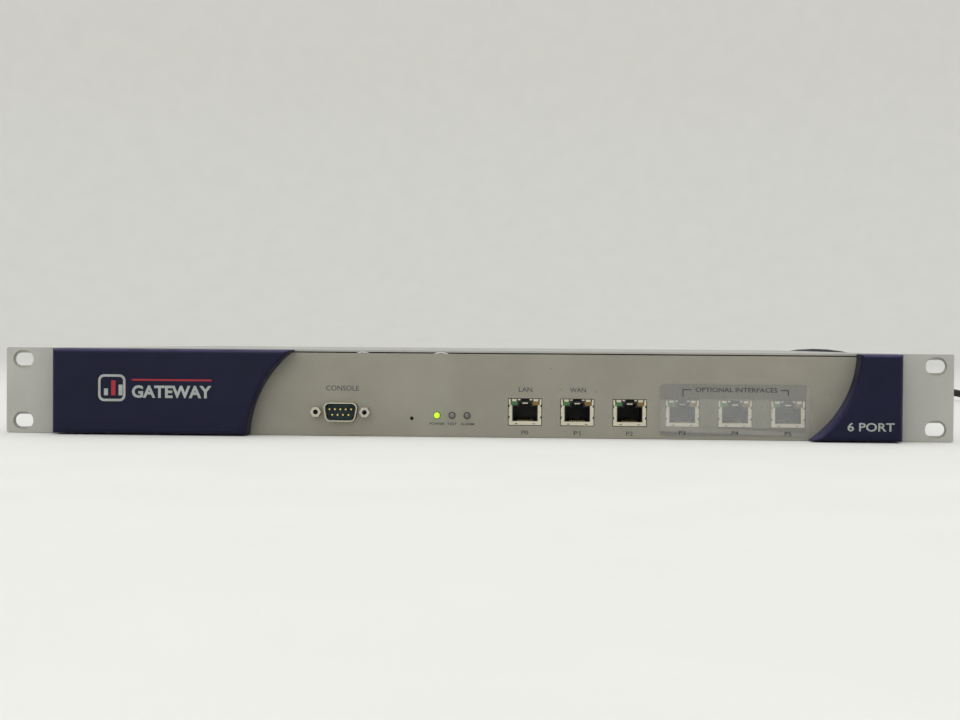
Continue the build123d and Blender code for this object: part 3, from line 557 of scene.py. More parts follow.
def moulded(
    name, tone, roughness=0.45, scale=4200.0, relief=0.000012, dusty=0.25, specular=0.35, soft=0.0, highlight_tone=None
):
    """Moulded plastic or rubber with a fine eroded texture. Its last argument is the colour of a painted highlight on
    its upper faces and outer edges.
    """
    s = Surface(name)
    grain, worn, dust = s.grain(scale), s.worn(1000.0), s.dust(dusty)
    look = s.tones(grain["Tone"], tone, 0.86, 1.14)
    # Painted highlight: the upward faces and the bezels' rounded outer edges are lightened towards the highlight tone,
    # broken up by noise.
    if highlight_tone:
        upper = s.between(s.axes(s.normal)["Z"], 0.15, 0.8)
        highlight_breakup = s.between(s.noise(s.position, 90.0, 4.0), 0.2, 0.6, 0.55, 1.0)
        painted_highlight = s.maths("MAXIMUM", upper, s.maths("MULTIPLY", s.past_bezels(-0.0019, -0.0004), 0.55))
        look = s.mix(s.maths("MULTIPLY", painted_highlight, highlight_breakup), look, highlight_tone)
    look = s.mix(s.maths("MULTIPLY", worn["Lines"], 0.3), look, shade(tone, 2.0))
    look = s.mix(dust, look, linear(120, 114, 106))
    rough = roughness - 0.05, roughness + 0.09
    return s.close(
        look, grain["Tone"], *rough, grain["Height"], relief, Specular_IOR_Level=specular, Sheen_Weight=soft
    )


def circuit(name, tone):
    """Solder mask over copper tracks."""
    s = Surface(name)
    grain = s.grain(3000.0)
    black, white = (0, 0, 0, 1), (1, 1, 1, 1)
    grid = s.node(
        "ShaderNodeTexBrick", Vector=s.position, Scale=160.0, Color1=black, Color2=black, Mortar=white,
        Mortar_Size=0.06,
    ).outputs
    look = s.tones(grid["Color"], tone, 0.9, 1.7)
    look = s.mix(s.between(s.cells(260.0)["Distance"], 0.16, 0.1), look, linear(190, 176, 120))
    look = s.mix(grain["Tone"], look, shade(tone, 1.05))
    return s.close(look, grain["Tone"], 0.28, 0.42, grid["Fac"], 0.00004)


def window(name, tone, clearness=0.35, glow=0.0, glow_tone=(1.0, 1.0, 1.0)):
    """Tinted moulded lens, cloudy inside."""
    s = Surface(name)
    grain = s.grain(5200.0)
    if glow:
        s.feed(s.shader["Emission Color"], s.mix(grain["Tone"], shade(glow_tone, 0.85), glow_tone))
        s.shader["Emission Strength"].default_value = glow
    return s.close(
        s.tones(grain["Tone"], tone, 0.8, 1.2), grain["Tone"], 0.16, 0.3, grain["Height"], 0.000006,
        Transmission_Weight=clearness, Coat_Weight=0.3,
    )


def film(name, tone):
    """Thin clouded film that lets the jacks behind it show as a haze."""
    s = Surface(name)
    grain, worn = s.grain(1500.0), s.worn(700.0)
    cloud = s.maths("ADD", grain["Tone"], worn["Lines"])
    s.feed(s.shader["Alpha"], s.between(cloud, 0.0, 2.0, 0.17, 0.21))
    look = s.tones(grain["Tone"], tone, 0.95, 1.05)
    return s.close(look, grain["Tone"], 0.3, 0.4, grain["Height"], 0.00001)


def printed(name, tone, roughness=0.5, shine=0.0):
    """Screen print: nearly flat, with a little mottle in the ink."""
    s = Surface(name)
    grain = s.grain(6000.0)
    look = s.tones(grain["Tone"], tone, 0.88, 1.12)
    rough = roughness - 0.06, roughness + 0.06
    return s.close(look, grain["Tone"], *rough, grain["Height"], 0.000004, Metallic=shine)


def strap_weave(name, tone):
    """Hook-and-loop strap: short raised loops in rows."""
    s = Surface(name)
    rows = s.node("ShaderNodeTexWave", Vector=s.position, Scale=420.0, Distortion=3.0, Detail=2.0).outputs["Fac"]
    height = s.maths("MULTIPLY", rows, s.between(s.cells(1400.0)["Distance"], 0.0, 0.6, 1.0, 0.2))
    # The colour follows the loops' height: painted shade in the hollows between the rows and a painted highlight on the
    # raised loops.
    return s.close(s.tones(height, tone, 0.6, 1.5), height, 0.8, 0.95, height, 0.00012, Sheen_Weight=0.4)


def ringed_label(name, tone):
    """Printed disc label: rings that follow its own map."""
    s = Surface(name)
    grain = s.grain(3000.0)
    distance = s.node("ShaderNodeVectorMath", operation="LENGTH")
    s.feed(distance.inputs[0], s.node("ShaderNodeUVMap", uv_map="UVMap").outputs["UV"])
    radius = distance.outputs["Value"]
    ring = s.maths("MULTIPLY", s.between(radius, 0.78, 0.8), s.between(radius, 0.88, 0.86))
    look = s.mix(ring, s.tones(grain["Tone"], tone, 0.92, 1.04), linear(40, 60, 90))
    return s.close(look, grain["Tone"], 0.4, 0.55, grain["Height"], 0.000006)


def studio_paper(name, tone):
    """Matte seamless paper."""
    s = Surface(name)
    grain = s.grain(900.0)
    return s.close(s.tones(grain["Tone"], tone, 0.985, 1.01), grain["Tone"], 0.75, 0.85, Specular_IOR_Level=0.1)


def finishes(scene):
    """How each finish is made."""
    case, marks, lead = scene.appliance_case, scene.appliance_print, scene.appliance_lead
    return {
        # The panel's ends, and the bracket behind the ear slots, take the lighter ears tone: painted light.
        "grey_panel": lambda n: painted(n, case.panel, lit_end_tone=case.lit_ears),
        "ear_bracket": lambda n: painted(n, case.lit_ears, roughness=0.38),
        "cover_sheet": lambda n: painted(n, case.cover, scale=1900.0, relief=0.00003, roughness=0.5, marks=0.12),
        "zinc_sheet": lambda n: metal(n, linear(178, 180, 180), 0.38, 0.9, spangled=True),
        # The bezels' last colour is their painted highlight along the upper faces and outer edges.
        "navy_plastic": lambda n: moulded(n, case.bezel, 0.4, 3800.0, 0.00001, 0.2, 0.2, 0.0, linear(58, 54, 92)),
        "jack_shield": lambda n: metal(n, case.shield, 0.36, 0.75, 2600.0),
        "black_plastic": lambda n: moulded(n, linear(22, 22, 24), 0.5),
        "gold_contacts": lambda n: metal(n, linear(228, 202, 142), 0.25, 1.0, 5200.0, 0.000004),
        "green_window": lambda n: window(n, linear(66, 132, 60)),
        "amber_window": lambda n: window(n, linear(142, 112, 26)),
        "clear_lens": lambda n: window(n, linear(158, 160, 156), 0.55),
        "lit_window": lambda n: window(n, case.lit, 0.2, 0.75, tuple(case.lit)),
        "teal_plastic": lambda n: moulded(n, case.connector, 0.4, 4600.0),
        "nickel_screws": lambda n: metal(n, linear(196, 192, 180), 0.28, 0.9, 3600.0),
        "button_plastic": lambda n: moulded(n, linear(44, 44, 46), 0.4),
        "grey_film": lambda n: film(n, linear(228, 229, 226)),
        "brass_blades": lambda n: metal(n, linear(206, 178, 112), 0.3, 1.0, 3600.0),
        "rocker_plastic": lambda n: moulded(n, linear(28, 28, 30), 0.35, 5200.0),
        "fan_plastic": lambda n: moulded(n, linear(26, 26, 27), 0.48, 3600.0, 0.00002, 0.45),
        "guard_steel": lambda n: metal(n, linear(186, 186, 188), 0.24, 1.0, 2600.0),
        "circuit_board": lambda n: circuit(n, linear(24, 82, 48)),
        "chip_plastic": lambda n: moulded(n, linear(36, 36, 38), 0.6, 5200.0),
        "heatsink_metal": lambda n: metal(n, linear(150, 152, 156), 0.42, 0.9, 1400.0),
        "battery_steel": lambda n: metal(n, linear(200, 202, 206), 0.22, 1.0, 5200.0),
        "supply_board": lambda n: circuit(n, linear(150, 118, 62)),
        "supply_parts": lambda n: moulded(n, linear(88, 74, 42), 0.5, 1800.0, 0.00004),
        "wire_cover": lambda n: moulded(n, linear(168, 30, 30), 0.45),
        "cord_rubber": lambda n: moulded(n, lead.rubber, 0.5, 2400.0, 0.00002, 0.3, 0.4, 0.05),
        "tie_plastic": lambda n: strap_weave(n, linear(40, 40, 42)),
        "ink": lambda n: printed(n, marks.ink),
        "film_edge": lambda n: printed(n, linear(146, 146, 140), 0.4),
        "silver_print": lambda n: printed(n, marks.silver, 0.36, 0.5),
        "accent_print": lambda n: printed(n, marks.accent, 0.42),
        "white_print": lambda n: printed(n, linear(214, 214, 210)),
        # A near-black finish for painted shade: the jack openings, the gaps round the lights and the jackscrews'
        # mouths.
        "dark_opening": lambda n: moulded(n, linear(14, 14, 15), 0.7, 4200.0, 0.00001, 0.0, 0.15),
        "fan_paper": lambda n: ringed_label(n, linear(196, 198, 200)),
        "studio_paper": lambda n: studio_paper(n, scene.appliance_studio.floor_colour),
    }


def finish(name):
    """The material of that name, made the first time it is asked for."""
    label = name + "_finish"
    return bpy.data.materials.get(label) or finishes(bpy.context.scene)[name](label)


# ------------------------------------------------------------------ making pieces


def new_piece(name, mesh):
    made = bpy.data.objects.new(name, mesh)
    bpy.context.scene.collection.objects.link(made)
    return made


def from_shape(name, shape, smooth=0.0):
    """A piece from a bmesh. Edges flatter than smooth, in radians, are shaded smooth."""
    bmesh.ops.recalc_face_normals(shape, faces=shape.faces)
    if smooth:
        for face in shape.faces:
            face.smooth = True
        for edge in shape.edges:
            edge.smooth = edge.is_manifold and edge.calc_face_angle(0.0) < smooth
    mesh = bpy.data.meshes.new(name)
    shape.to_mesh(mesh)
    shape.free()
    return new_piece(name, mesh)


def settled(piece):
    """The piece with its modifiers, text or curve turned into a plain mesh."""
    bpy.context.view_layer.update()
    graph = bpy.context.evaluated_depsgraph_get()
    mesh = bpy.data.meshes.new_from_object(piece.evaluated_get(graph))
    name = piece.name
    bpy.data.objects.remove(piece)
    mesh.name = name
    return new_piece(name, mesh)


def dress(piece, finish_name, body=CASE, slot=None, replaces=()):
    """Give a piece its finish, the body that it rides on, its slot, and the nodes that it stands for."""
    piece.data.materials.clear()
    piece.data.materials.append(finish(finish_name))
    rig.ride(piece, body)
    if slot:
        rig.slot(piece, slot)
    if replaces:
        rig.replaces(piece, *replaces)
    return piece


def rounded_box(shape, low, high, bevel):
    """Add a box with bevelled edges to a bmesh."""
    made = bmesh.ops.create_cube(shape, size=1.0)["verts"]
    size = Vector(high) - Vector(low)
    place = Matrix.Translation((Vector(low) + Vector(high)) / 2) @ Matrix.Diagonal((*size, 1.0))
    bmesh.ops.transform(shape, matrix=place, verts=made)
    edges = {edge for vert in made for edge in vert.link_edges}
    if bevel:
        bmesh.ops.bevel(shape, geom=list(edges), offset=bevel, segments=2, affect="EDGES")


def flat_outline(shape, points, y, depth):
    """Add a flat shape, given by its outline in X and Z, standing depth out of the surface at y."""
    back = [shape.verts.new((x, y, z)) for x, z in points]
    front = [shape.verts.new((x, y - depth, z)) for x, z in points]
    count = len(points)
    shape.faces.new(front)
    shape.faces.new(list(reversed(back)))
    for i in range(count):
        j = (i + 1) % count
        shape.faces.new((back[i], back[j], front[j], front[i]))


def round_bar(shape, place, radius, depth, segments=24, end=None):
    """Add a round bar along Y to a bmesh. end is its other radius, where it tapers. Its corners come back."""
    turned = Matrix.Translation(place) @ Matrix.Rotation(radians(90), 4, "X")
    return bmesh.ops.create_cone(
        shape, cap_ends=True, segments=segments, radius1=radius, radius2=end or radius, depth=depth, matrix=turned
    )["verts"]


def lofted(name, sections, corners=36, smooth=radians(50)):
    """A closed solid through rounded sections along Y. Each is (y, x, z, half width, half height, squareness)."""
    shape = bmesh.new()
    rings = []
    for y, x, z, half_width, half_height, power in sections:
        ring = []
        for i in range(corners):
            turn = tau * i / corners
            c, s = cos(turn), sin(turn)
            reach = (abs(c) ** power + abs(s) ** power) ** (-1 / power)
            ring.append(shape.verts.new((x + half_width * c * reach, y, z + half_height * s * reach)))
        rings.append(ring)
    for before, after in zip(rings, rings[1:]):
        for i in range(corners):
            j = (i + 1) % corners
            shape.faces.new((before[i], before[j], after[j], after[i]))
    shape.faces.new(rings[0])
    shape.faces.new(list(reversed(rings[-1])))
    return from_shape(name, shape, smooth)


def pattern_tree(name, sizes):
    """A geometry tree with a mesh in, a mesh out, and a named input for each size."""
    tree = bpy.data.node_groups.new(name, "GeometryNodeTree")
    tree.interface.new_socket("Geometry", in_out="INPUT", socket_type="NodeSocketGeometry")
    for label, size in sizes.items():
        kind = "NodeSocketInt" if isinstance(size, int) else "NodeSocketFloat"
        tree.interface.new_socket(label, in_out="INPUT", socket_type=kind)
    tree.interface.new_socket("Material", in_out="INPUT", socket_type="NodeSocketMaterial")
    tree.interface.new_socket("Geometry", in_out="OUTPUT", socket_type="NodeSocketGeometry")
    wiring = Wiring(tree)
    return tree, wiring, wiring.node("NodeGroupInput").outputs, wiring.node("NodeGroupOutput").inputs


def close_tree(w, given, out, geometry):
    """End a geometry tree: real geometry, then its material."""
    real = w.node("GeometryNodeRealizeInstances", Geometry=geometry).outputs[0]
    w.feed(out["Geometry"], w.node("GeometryNodeSetMaterial", Geometry=real, Material=given["Material"]).outputs[0])


def grown(name, places, tree, sizes, finish_name, **facts):
    """A plain mesh that a geometry tree grows on points. facts are a list of vectors for each named attribute."""
    mesh = bpy.data.meshes.new(name)
    mesh.from_pydata([tuple(place) for place in places], [], [])
    for label, vectors in facts.items():
        values = mesh.attributes.new(label, "FLOAT_VECTOR", "POINT")
        for item, vector in zip(values.data, vectors):
            item.vector = vector
    piece = new_piece(name, mesh)
    maker = piece.modifiers.new(name, "NODES")
    maker.node_group = tree
    for socket in tree.interface.items_tree:
        if socket.item_type == "SOCKET" and socket.in_out == "INPUT":
            if socket.name in sizes:
                maker[socket.identifier] = sizes[socket.name]
            elif socket.name == "Material":
                maker[socket.identifier] = finish(finish_name)
    return settled(piece)


# ------------------------------------------------------------------ words and marks


def add_words(shape, text, left, right, low, high, y, depth, stroke=0.0):
    """Add raised capitals to a bmesh, fitted between two places along X and two heights, in metres."""
    letters = bpy.data.curves.new(text, "FONT")
    letters.body = text
    letters.size = 1.0
    letters.extrude = 0.5
    letters.offset = stroke / (high - low) * 0.7
    letters.resolution_u = 3
    word = settled(new_piece(text, letters))
    mesh = word.data
    spread = [v.co for v in mesh.vertices]
    x0, x1 = min(p.x for p in spread), max(p.x for p in spread)
    y0, y1 = min(p.y for p in spread), max(p.y for p in spread)
    size = Matrix.Diagonal(((right - left) / (x1 - x0), depth, (high - low) / (y1 - y0), 1.0))
    fit = Matrix.Translation((left, y - depth / 2, low)) @ size
    upright = Matrix.Rotation(radians(90), 4, "X")
    mesh.transform(fit @ upright @ Matrix.Translation((-x0, -y0, 0.0)))
    shape.from_mesh(mesh)
    bpy.data.objects.remove(word)


def rounded_outline(x0, x1, z0, z1, radius, steps=6):
    """The corners of a rounded rectangle in X and Z."""
    left, right, low, high = x0 + radius, x1 - radius, z0 + radius, z1 - radius
    points = []
    for x, z, start in ((right, high, 0), (left, high, 90), (left, low, 180), (right, low, 270)):
        for i in range(steps + 1):
            turn = radians(start + 90 * i / steps)
            points.append((x + radius * cos(turn), z + radius * sin(turn)))
    return points


def outline_ring(shape, outer, inner, y, depth):
    """Add a raised ring between two outlines with the same number of corners."""
    count = len(outer)
    corners = [[shape.verts.new((x, level, z)) for x, z in line] for level in (y, y - depth) for line in (outer, inner)]
    back_out, back_in, front_out, front_in = corners
    for i in range(count):
        j = (i + 1) % count
        shape.faces.new((front_out[i], front_out[j], front_in[j], front_in[i]))
        shape.faces.new((back_in[i], back_in[j], back_out[j], back_out[i]))
        shape.faces.new((back_out[i], back_out[j], front_out[j], front_out[i]))
        shape.faces.new((front_in[i], front_in[j], back_in[j], back_in[i]))


def bar(shape, x0, x1, z0, z1, y, depth):
    flat_outline(shape, [(x0, z0), (x1, z0), (x1, z1), (x0, z1)], y, depth)


# ------------------------------------------------------------------ operators


class MakeStudio(bpy.types.Operator):
    """Make the floor, the lights and the camera"""

    bl_idname = "appliance.make_studio"
    bl_label = "Studio"

    def execute(self, context):
        studio = context.scene.appliance_studio
        self.make_floor(studio)
        self.make_light("light_above", (0.0, -0.25, 1.7), (0.0, 0.0, 0.0), 2.2, studio.key_power)
        self.make_light("light_in_front", (-0.5, -2.0, 1.1), (0.0, -0.1, 0.02), 1.6, studio.fill_power)
        world = bpy.data.worlds.new("soft_sky")
        world.use_nodes = True
        sky = world.node_tree.nodes["Background"].inputs
        sky["Color"].default_value = (*linear(244, 246, 250), 1.0)
        sky["Strength"].default_value = studio.sky
        context.scene.world = world
        eye = bpy.data.cameras.new("camera")
        eye.lens, eye.sensor_width = studio.lens, 36.0
        eye.dof.use_dof = False
        eye.clip_start = 0.01
        camera = new_piece("camera", eye)
        turn = Matrix.Identity(4)
        pitch, roll, yaw = studio.camera_turn
        for angle, axis in ((yaw, "Z"), (pitch, "X"), (roll, "Y"), (radians(90), "X")):
            turn = turn @ Matrix.Rotation(angle, 4, axis)
        camera.matrix_world = Matrix.Translation(studio.camera_place) @ turn
        context.scene.camera = camera
        context.scene.view_settings.view_transform = "Standard"
        return {"FINISHED"}

    def make_floor(self, studio):
        """A round floor that runs up into a wall."""
        sweep, sides = 1.0, 96
        profile = [(0.6, 0.0), (studio.floor_radius, 0.0)]
        for angle in range(6, 91, 6):
            turn = radians(angle)
            profile.append((studio.floor_radius + sweep * sin(turn), sweep * (1 - cos(turn))))
        profile.append((studio.floor_radius + sweep, studio.wall_height))
        shape = bmesh.new()
        centre = shape.verts.new((0.0, 0.0, 0.0))
        spokes = [(cos(tau * i / sides), sin(tau * i / sides)) for i in range(sides)]
        rings = [[shape.verts.new((radius * x, radius * y, height)) for x, y in spokes] for radius, height in profile]
        for i in range(sides):
            j = (i + 1) % sides
            shape.faces.new((centre, rings[0][i], rings[0][j]))
            for before, after in zip(rings, rings[1:]):
                shape.faces.new((before[i], after[i], after[j], before[j]))
        for face in shape.faces:
            face.smooth = True
        mesh = bpy.data.meshes.new("floor")
        shape.to_mesh(mesh)
        shape.free()
        floor = new_piece("floor", mesh)
        floor.data.materials.append(finish("studio_paper"))
        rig.stage(floor)

    def make_light(self, name, place, target, size, power):
        lamp = bpy.data.lights.new(name, "AREA")
        lamp.shape, lamp.size, lamp.energy = "DISK", size, power
        light = new_piece(name, lamp)
        aim = (Vector(target) - Vector(place)).to_track_quat("-Z", "Y").to_matrix().to_4x4()
        light.matrix_world = Matrix.Translation(place) @ aim


class MakeLead(bpy.types.Operator):
    """Make the mains lead: its cord, connector, plug and strap"""

    bl_idname = "appliance.make_lead"
    bl_label = "Mains lead"

    def execute(self, context):
        lead = context.scene.appliance_lead
        connector = self.make_connector()
        plug, prongs = self.make_plug()
        rings = self.make_rings(lead)
        strap = self.make_strap()
        self.make_cord(lead, [connector, plug, prongs, rings, strap])
        return {"FINISHED"}

    def route(self, lead):
        """The cord's control points: out of the connector, over an arch, round the coil, and into the plug."""
        low = 0.0031
        points = [
            at(0.176, 0.38505, 0.0215),
            at(0.1765, 0.411, 0.0228),
            at(0.190, 0.432, 0.0285),
            at(0.218, 0.4435, 0.0355),
            at(0.268, 0.447, 0.0443),
            at(0.315, 0.454, 0.0362),
            at(0.353, 0.470, 0.0215),
            at(0.388, 0.489, 0.0094),
            at(0.426, 0.505, low),
            at(0.448, 0.5046, low),
            at(0.464, 0.502, low),
        ]
        centre = middle("power_cord_coil")
        inner, outer, width = lead.coil_inner, lead.coil_outer, lead.diameter
        between, lane = (inner + outer) / 2, outer + width + 0.0001
        second, third = low + width, low + 2 * width
        radius_at = (
            (0.0, outer), (0.7, outer), (0.95, between), (1.7, between), (1.95, inner), (3.17, inner),
            (3.42, between), (4.17, between), (4.42, outer), (5.7, outer), (5.92, lane), (7.0, lane),
        )
        height_at = (
            (0.0, low), (2.42, low), (2.67, second), (4.95, second), (5.17, third), (5.85, third), (6.2, low),
            (7.0, low),
        )
        per_turn = lead.points_per_turn
        bulge = 0.75 + 0.25 * cos(tau / per_turn)
        for step in range(1, round(6.2 * per_turn) + 1):
            turns = step / per_turn
            reach, height = self.eased(radius_at, turns) / bulge, self.eased(height_at, turns)
            turn = tau * turns
            points.append(Vector((centre.x + reach * sin(turn), centre.y + reach * cos(turn), height)))
        plug_low, plug_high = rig.box("mains_plug")
        plug = (plug_low + plug_high) / 2
        for past, height in ((0.019, low), (0.008, plug.z - 0.0012), (-0.0005, plug.z)):
            points.append(Vector((plug.x, plug_high.y + past, height)))
        return points

    def eased(self, table, place):
        """The value at a place of a table, moving smoothly from one row to the next."""
        for (a, low), (b, high) in zip(table, table[1:]):
            if a <= place <= b:
                share = (place - a) / (b - a)
                return low + (high - low) * share * share * (3 - 2 * share)
        return table[-1][1]

    def make_cord(self, lead, others):
        line = bpy.data.curves.new("mains_cord", "CURVE")
        line.dimensions = "3D"
        line.bevel_depth = lead.diameter / 2
        line.bevel_resolution = 5
        line.resolution_u = 4
        line.use_fill_caps = True
        points = self.route(lead)
        spline = line.splines.new("NURBS")
        spline.points.add(len(points) - 1)
        for slot, point in zip(spline.points, points):
            slot.co = (*point, 1.0)
        spline.order_u = 3
        spline.use_endpoint_u = True
        cord = dress(
            new_piece("mains_cord", line), "cord_rubber", slot="cord_rubber",
            replaces=("power_cord", "power_cord_coil"),
        )
        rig.cord(
            cord, exit=points[0], length=lead.cord_length, diameter=lead.diameter, far_end="plug",
            stiffness="medium", lay="loose", with_pieces=others,
        )

    def make_connector(self):
        """The moulded connector: nose, waisted grip and tapered relief."""
        low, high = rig.box("inlet_connector")
        inlet = middle("mains_inlet")
        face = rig.box("mains_inlet")[1].y
        x, z = inlet.x, inlet.z
        sections = [
            (low.y, x, z, 0.0118, 0.0076, 7.0),
            (face - 0.0002, x, z, 0.0118, 0.0076, 7.0),
            (face + 0.0002, x, z, 0.0124, 0.0086, 6.0),
            (face + 0.0012, x, z, 0.0130, 0.00925, 5.0),
            (face + 0.0080, x, z, 0.0126, 0.0088, 4.6),
            (face + 0.0150, x, z, 0.0121, 0.0084, 4.0),
            (face + 0.0205, x, z, 0.0108, 0.0078, 3.4),
            (face + 0.0240, x, z, 0.0076, 0.0066, 2.6),
            (face + 0.0256, x, z, 0.0054, 0.0054, 2.0),
            (high.y - 0.0006, x, z, 0.0037, 0.0037, 2.0),
            (high.y, x, z, 0.0033, 0.0033, 2.0),
        ]
        body = lofted("connector_body", sections)
        return dress(body, "cord_rubber", slot="cord_rubber", replaces=("inlet_connector",))

    def make_plug(self):
        """The plug's moulded body, and its three metal prongs."""
        low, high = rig.box("mains_plug")
        x, z, face = (low.x + high.x) / 2, (low.z + high.z) / 2, low.y + 0.019
        half_width, half_height = (high.x - low.x) / 2, (high.z - low.z) / 2
        sections = [
            (face, x, z, half_width - 0.0012, half_height - 0.0012, 4.5),
            (face + 0.0008, x, z, half_width - 0.0002, half_height - 0.0002, 4.5),
            (face + 0.0055, x, z, half_width - 0.0002, half_height - 0.0002, 4.5),
            (face + 0.0085, x, z, half_width - 0.0024, half_height - 0.0018, 3.6),
            (face + 0.0180, x, z, half_width - 0.0034, half_height - 0.0026, 3.2),
            (face + 0.0270, x, z, half_width - 0.0046, half_height - 0.0034, 2.8),
            (face + 0.0320, x, z, half_width - 0.0066, half_height - 0.0042, 2.4),
            (face + 0.0345, x, z, 0.0055, 0.0054, 2.0),
            (high.y - 0.0006, x, z, 0.0037, 0.0037, 2.0),
            (high.y, x, z, 0.0033, 0.0033, 2.0),
        ]
        plug = dress(lofted("plug_body", sections), "cord_rubber", slot="cord_rubber", replaces=("mains_plug",))
        shape = bmesh.new()
        thick, spread = 0.00075, 0.00635
        for blade in (x - spread, x + spread):
            tip, root = (blade - thick, face - 0.017, z - 0.0076), (blade + thick, face + 0.0005, z - 0.0014)
            rounded_box(shape, tip, root, 0.0004)
        pin = round_bar(shape, (x, face - 0.009, z + 0.0052), 0.00235, 0.0195)
        edges = {edge for vert in pin for edge in vert.link_edges}
        ends = [e for e in edges if len(e.link_faces) == 2 and e.calc_face_angle(0) > 1]
        bmesh.ops.bevel(shape, geom=ends, offset=0.0007, segments=2, affect="EDGES")
        prongs = dress(from_shape("plug_prongs", shape, radians(40)), "brass_blades", slot="brass_blades")
        return plug, prongs

    def make_rings(self, lead):
        """Ribs round both strain reliefs."""
        tree, w, given, out = pattern_tree("relief_rings", {"Ring Thickness": 0.1})
        solid = w.hoop(28, 1.0, given["Ring Thickness"])
        turn = w.node("FunctionNodeAlignRotationToVector", axis="Z", Vector=w.fact("facing")).outputs["Rotation"]
        close_tree(w, given, out, w.copies(given["Geometry"], solid, Rotation=turn, Scale=w.fact("ring_size")))
        widest, narrowest = 0.0053, 0.0037
        places, sizes = [], []
        for node, holder, start in (("inlet_connector", "mains_inlet", 0.0205), ("mains_plug", "mains_plug", 0.0185)):
            end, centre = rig.box(node)[1].y, middle(holder)
            for i in range(lead.ribs):
                share = (i + 0.5) / lead.ribs
                radius = widest + (narrowest - widest) * share
                places.append((centre.x, end - start * (1 - share), centre.z))
                sizes.append((radius, radius, radius))
        facts = {"ring_size": sizes, "facing": [(0, 1, 0)] * len(places)}
        made = grown("relief_rings", places, tree, {"Ring Thickness": 0.13}, "cord_rubber", **facts)
        return dress(made, "cord_rubber", slot="cord_rubber")

    def make_strap(self):
        """A strap round the coil, with its tail lying on top."""
        low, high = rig.box("cord_tie")
        thick = 0.0011
        outer = rounded_outline(low.x, high.x, low.z, high.z, 0.0042)
        inner = rounded_outline(low.x + thick, high.x - thick, low.z + thick * 0.5, high.z - thick, 0.0034)
        shape = bmesh.new()
        outline_ring(shape, outer, inner, high.y, high.y - low.y)
        tail_low = (low.x + 0.004, low.y + 0.0008, high.z - 0.0002)
        tail_high = (high.x - 0.004, high.y - 0.0008, high.z + 0.0009)
        rounded_box(shape, tail_low, tail_high, 0.0003)
        strap = from_shape("coil_strap", shape, radians(35))
        return dress(strap, "tie_plastic", slot="tie_plastic", replaces=("cord_tie",))


class MakeScrews(bpy.types.Operator):
    """Make every pan-head screw, with its cross recess"""

    bl_idname = "appliance.make_screws"
    bl_label = "Screws"

    def execute(self, context):
        screws = context.scene.appliance_screws
        seats, facings, heads, shanks = self.measure("screws")
        sizes = {
            "Sides": screws.sides,
            "Recess Width": screws.recess_width,
            "Recess Reach": screws.recess_reach,
            "Recess Depth": screws.recess_depth,
        }
        tree = self.tree(sizes)
        facts = {"facing": facings, "head_size": heads, "shank_size": shanks}
        made = grown("case_screws", seats, tree, sizes, "nickel_screws", **facts)
        dress(made, "nickel_screws", slot="nickel_screws", replaces=("screws",))
        return {"FINISHED"}

    def measure(self, node):
        """Each screw's seat, the way it faces, and the sizes of its head and shank."""
        shape = bmesh.new()
        shape.from_mesh(frame["nodes"][node].data)
        bmesh.ops.remove_doubles(shape, verts=shape.verts, dist=0.000001)
        waiting = set(shape.verts)
        seats, facings, heads, shanks = [], [], [], []
        while waiting:
            edge_of_search = [waiting.pop()]
            island = []
            while edge_of_search:
                vert = edge_of_search.pop()
                island.append(vert.co.copy())
                for link in vert.link_edges:
                    other = link.other_vert(vert)
                    if other in waiting:
                        waiting.remove(other)
                        edge_of_search.append(other)
            low = Vector([min(p[i] for p in island) for i in range(3)])
            high = Vector([max(p[i] for p in island) for i in range(3)])
            size = high - low
            along = max(range(3), key=lambda i: size[i])
            centre = (low + high) / 2
            width = max(size[i] for i in range(3) if i != along)
            rims = {}
            for end, sign in ((low[along], -1), (high[along], 1)):
                rims[sign] = max((p - centre)[(along + 1) % 3] for p in island if abs(p[along] - end) < 0.00002)
            sign = max(rims, key=rims.get)
            top = high[along] if sign > 0 else low[along]
            rim = [p for p in island if abs((p - centre)[(along + 1) % 3]) > width * 0.45]
            shelf = min(abs(top - p[along]) for p in rim if abs(top - p[along]) > 0.0004)
            facing = Vector((0, 0, 0))
            facing[along] = sign
            seats.append(centre - facing * facing.dot(centre) + facing * (sign * top - shelf))
            facings.append(facing)
            heads.append((width / 2, width / 2, shelf))
            shanks.append((rims[-sign], rims[-sign], size[along] - shelf))
        shape.free()
        return seats, facings, heads, shanks

    def tree(self, sizes):
        tree, w, given, out = pattern_tree("pan_head_screws", sizes)
        drum = w.moved(w.drum(given["Sides"]), Translation=(0, 0, 0.5))
        dome = w.moved(w.ball(given["Sides"], 24, 1.336), Translation=(0, 0, -0.336))
        head = w.node("GeometryNodeMeshBoolean", operation="INTERSECT")
        w.gather(head.inputs["Mesh 2"], drum, dome)
        cut = w.node("GeometryNodeMeshBoolean", operation="DIFFERENCE", Mesh_1=head.outputs["Mesh"])
        deep = w.maths("MULTIPLY", given["Recess Depth"], 2.0)
        reach, width = given["Recess Reach"], given["Recess Width"]
        for arm in ((reach, width), (width, reach)):
            w.gather(cut.inputs["Mesh 2"], w.moved(w.cube(w.vector(*arm, deep)), Translation=(0, 0, 1.0)))
        shank = w.moved(w.drum(12), Translation=(0, 0, -0.5))
        turn = w.node("FunctionNodeAlignRotationToVector", axis="Z", Vector=w.fact("facing")).outputs["Rotation"]
        placed = [
            w.copies(given["Geometry"], solid, Rotation=turn, Scale=w.fact(size))
            for solid, size in ((cut.outputs["Mesh"], "head_size"), (shank, "shank_size"))
        ]
        close_tree(w, given, out, w.joined(placed))
        return tree


